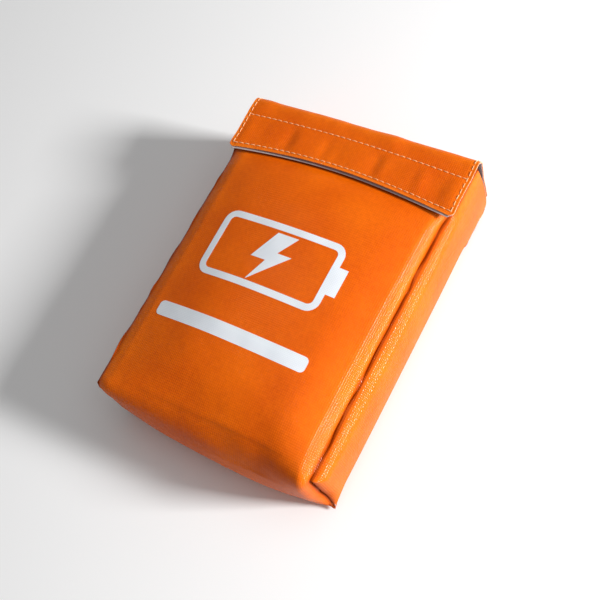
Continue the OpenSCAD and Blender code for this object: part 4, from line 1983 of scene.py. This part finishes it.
@dataclass
class FrontPrint:
    """Battery outline with a bolt and a plain bar, as a thin film on the front."""

    face: FrontFace
    middle: np.ndarray
    thickness: float = 0.12 * MM
    proud: float = 0.15 * MM
    step: float = 2.0 * MM
    width: float = 98.0 * MM
    height: float = 52.0 * MM
    line: float = 5.0 * MM
    symbol_rise: float = 125.0 * MM
    bar_width: float = 122.0 * MM
    bar_height: float = 11.0 * MM
    bar_rise: float = 66.0 * MM

    def rounded(self, half_x: float, half_y: float, radius: float) -> np.ndarray:
        """Closed outline of a rounded rectangle, evenly sampled.

        Args:
            half_x: Half its width.
            half_y: Half its height.
            radius: Radius of its corners.

        Returns:
            Its points, the last one on the first.
        """
        runs = []
        centres = ((1, 1, 0.0), (-1, 1, 0.5), (-1, -1, 1.0), (1, -1, 1.5))
        corners = []
        for sign_x, sign_y, turn in centres:
            angle = np.linspace(turn, turn + 0.5, 7) * math.pi
            x = sign_x * (half_x - radius) + radius * np.cos(angle)
            y = sign_y * (half_y - radius) + radius * np.sin(angle)
            corners.append(np.stack([x, y], axis=1))
        for i, corner in enumerate(corners):
            following = corners[(i + 1) % 4][0]
            count = max(2, round(float(np.linalg.norm(following - corner[-1])) / self.step))
            t = np.linspace(0.0, 1.0, count + 1)[1:-1, None]
            runs += [corner, corner[-1] * (1.0 - t) + following * t]
        runs.append(corners[0][:1])
        return np.concatenate(runs)

    def ring(self) -> np.ndarray:
        """Grid of the battery's outline."""
        half = np.array([self.width, self.height]) / 2.0
        outer = self.rounded(half[0], half[1], self.line * 1.8)
        share = np.linspace(0.0, 1.0, 4)[None, :, None]
        inward = np.gradient(outer, axis=0)
        inward[0] = inward[-1] = (inward[0] + inward[-1]) / 2.0
        inward = np.stack([-inward[:, 1], inward[:, 0]], axis=1)
        inward /= np.linalg.norm(inward, axis=1, keepdims=True)
        return outer[:, None] + inward[:, None] * share * self.line

    def strip(self, left: np.ndarray, right: np.ndarray, rows: int, columns: int) -> np.ndarray:
        """Grid between two straight or broken edges given from top to bottom."""
        t = np.linspace(0.0, len(left) - 1.0, rows)
        a = np.stack([np.interp(t, np.arange(len(left)), left[:, i]) for i in (0, 1)], axis=1)
        b = np.stack([np.interp(t, np.arange(len(right)), right[:, i]) for i in (0, 1)], axis=1)
        share = np.linspace(0.0, 1.0, columns)[None, :, None]
        return a[:, None] * (1.0 - share) + b[:, None] * share

    def build(self, looks: Finishes, inside: np.ndarray) -> bpy.types.Object:
        """Makes the whole print as one piece.

        Args:
            looks: The pouch's finishes.
            inside: A point inside the pouch.

        Returns:
            The new object.
        """
        half = np.array([self.width, self.height]) / 2.0
        tall = self.height
        terminal = np.array([0.13, 0.4]) * tall
        edge = half[0] + 0.05 * MM
        far = edge + terminal[0]
        upper = self.strip(
            np.array([[-0.06, 0.36], [-0.26, -0.06]]) * tall,
            np.array([[0.26, 0.36], [0.08, 0.08]]) * tall, 12, 7,
        )
        lower = self.strip(
            np.array([[-0.26, -0.06], [-0.03, -0.06], [-0.16, -0.38]]) * tall,
            np.array([[0.08, 0.08], [0.3, 0.08], [-0.16 + 0.01, -0.38]]) * tall, 21, 7,
        )
        block = self.strip(
            np.array([[edge, terminal[1] / 2.0], [edge, -terminal[1] / 2.0]]),
            np.array([[far, terminal[1] / 2.0], [far, -terminal[1] / 2.0]]), 11, 5,
        )
        bar = self.bar(np.array([self.bar_width, self.bar_height]) / 2.0)
        up = np.array([0.0, self.symbol_rise])
        low = np.array([0.0, self.bar_rise])
        grids = [self.ring() + up, upper + up, lower + up, block + up, bar + low]
        parts = []
        for number, grid in enumerate(grids):
            grid = grid + self.middle
            top, _ = self.face.lay(grid[:, :, 0], grid[:, :, 1], self.proud)
            sheet = ClothSheet(top, grid, self.thickness)
            parts.append(sheet.build(f"print_{number}", inside, [looks.print] * 3))
        with bpy.context.temp_override(
            active_object=parts[0], selected_editable_objects=parts, selected_objects=parts
        ):
            bpy.ops.object.join()
        parts[0].name = "battery_symbol_and_bar_film"
        return parts[0]

    def bar(self, half: np.ndarray) -> np.ndarray:
        """Grid of the plain bar with rounded ends."""
        radius = self.bar_height * 0.3
        x = np.concatenate([
            -half[0] + radius * (1.0 - np.cos(np.linspace(0.0, math.pi / 2.0, 6))),
            np.linspace(-half[0] + radius, half[0] - radius, 60)[1:-1],
            half[0] - radius * (1.0 - np.cos(np.linspace(math.pi / 2.0, 0.0, 6))),
        ])
        into = np.clip(radius - (half[0] - np.abs(x)), 0.0, radius)
        reach = half[1] - radius + np.sqrt(np.maximum(radius**2 - into**2, 0.0))
        y = np.linspace(1.0, -1.0, 7)[:, None] * reach[None, :]
        return np.stack([np.broadcast_to(x, y.shape), y], axis=-1)


# ---------------------------------------------------------------------------
# Studio
# ---------------------------------------------------------------------------


@dataclass
class Studio:
    """Floor, lights and camera."""

    size: PouchSize
    lens: float = 57.0
    floor_reach: float = 3.0
    floor_drop: float = 0.3 * MM
    key_place: tuple = (1.5, 0.42, 0.70)
    key_width: float = 0.33
    key_power: float = 50.0
    overhead_place: tuple = (0.6, 0.3, 1.6)
    overhead_width: float = 1.6
    overhead_power: float = 7.0
    room_light: float = 0.24

    def build(self) -> None:
        """Makes the whole studio."""
        self.floor()
        self.lights()
        self.camera()

    def floor(self) -> None:
        """Lays a wide pale floor under the pouch."""
        square = np.array([(-1.0, -1.0, 0.0), (1.0, -1.0, 0.0), (1.0, 1.0, 0.0), (-1.0, 1.0, 0.0)])
        corners = square * self.floor_reach - [0.0, 0.0, self.floor_drop]
        floor = new_mesh("studio_floor", corners, [(0, 1, 2, 3)])
        floor.data.materials.append(StudioFloor().build())

    def area(self, name: str, place: tuple, aim: tuple, width: float, power: float) -> None:
        """Hangs one soft square light."""
        data = bpy.data.lights.new(name, "AREA")
        data.size = width
        data.energy = power
        lamp = bpy.data.objects.new(name, data)
        lamp.location = place
        lamp.rotation_euler = (Vector(aim) - Vector(place)).to_track_quat("-Z", "Y").to_euler()
        bpy.context.scene.collection.objects.link(lamp)

    def lights(self) -> None:
        """Hangs a low key light on the pouch's right and a weak overhead, in a pale room."""
        aim = (0.0, 0.0, self.size.depth / 2.0)
        self.area("key", self.key_place, aim, self.key_width, self.key_power)
        aim = (0.0, 0.0, 0.0)
        self.area("overhead", self.overhead_place, aim, self.overhead_width, self.overhead_power)
        world = bpy.data.worlds.new("pale_room")
        world.use_nodes = True
        background = world.node_tree.nodes["Background"]
        background.inputs["Color"].default_value = (1.0, 1.0, 1.0, 1.0)
        background.inputs["Strength"].default_value = self.room_light
        scene = bpy.context.scene
        scene.world = world
        scene.view_settings.view_transform = "Standard"

    def camera(self) -> None:
        """Places the camera above the pouch's right, rolled so that the mouth points up right."""
        place = Vector((0.285, -0.059 + self.size.bottom_y, 0.607))
        toward = Vector((-0.420, 0.265, -0.868)).normalized()
        up = Vector((-0.331, 0.845, 0.419))
        right = toward.cross(up).normalized()
        up = right.cross(toward)
        data = bpy.data.cameras.new("camera")
        data.lens = self.lens
        data.sensor_width = 36.0
        camera = bpy.data.objects.new("camera", data)
        turn = Matrix((right, up, -toward)).transposed().to_4x4()
        camera.matrix_world = Matrix.Translation(place) @ turn
        bpy.context.scene.collection.objects.link(camera)
        bpy.context.scene.camera = camera


def main() -> None:
    """Builds every piece around the frame."""
    logging.basicConfig(level=logging.INFO, format="%(message)s")
    size = PouchSize.from_frame()
    looks = Finishes()
    Studio(size).build()
    body = PouchBody(size)
    made = body.build(looks)
    pieces = made["pieces"]
    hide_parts("front_panel", "bottom_panel", "back_panel")
    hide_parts("front_lining", "bottom_lining", "back_lining")
    for side in ("left", "right"):
        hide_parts(f"{side}_side_panel")
        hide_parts(f"{side}_lining")
    for name, piece in pieces.items():
        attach(piece, "pouch")
        log.info("%s: %d faces", piece.name, len(piece.data.polygons))
    flap = Flap(size, body)
    sheets = flap.build(looks)
    for name, piece in sheets.items():
        if "root" in name:
            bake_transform(piece)
        else:
            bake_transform(piece)
    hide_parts("flap_top_shell")
    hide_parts("flap_front_shell")
    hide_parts("flap_root_lining", "flap_top_lining")
    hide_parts("flap_front_lining")
    face = FrontFace(made["wrap_grid"], size.depth + 20.0 * MM)
    tapes = ClosureTapes(size, flap, face, Repeater.on_points())
    closure = tapes.build(looks)
    for name, piece in closure.items():
        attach(piece, "flap_front" if "hook" in name else "pouch")
        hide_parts("hook_tape" if "hook" in name else "loop_tape")
        log.info("%s: %d faces", piece.name, len(piece.data.polygons))
    low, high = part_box("front_print")
    middle = np.array([(low[0] + high[0]) / 2.0, size.bottom_y])
    film = FrontPrint(face, middle).build(looks, body.inside)
    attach(film, "pouch")
    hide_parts("front_print")
    sewing = Sewing(size, flap, Repeater.along_lines())
    rows = sewing.build(looks, made["wrap_grid"], tapes.loop_rows())
    for name in ("right_seam", "left_seam", "loop_tape"):
        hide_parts(f"{name}_stitches")
        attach(rows[name], "pouch")
    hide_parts("flap_hem_stitches")
    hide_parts("hook_tape_stitches")
    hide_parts("flap_front_edge_stitches")
    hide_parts("flap_top_edge_stitches")
    for name, row in rows.items():
        log.info("%s: %d faces", row.name, len(row.data.polygons))
    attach(rows["hem"], "flap_front")
    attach(rows["middle"], "flap_front")
    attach(rows["top_edges"], "flap_top")
    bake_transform(rows["front_edges"])
    for name in ("one_stitch", "one_hook", "one_loop"):
        bpy.data.objects.remove(bpy.data.objects[name])
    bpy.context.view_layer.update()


if __name__ == "__main__":
    main()
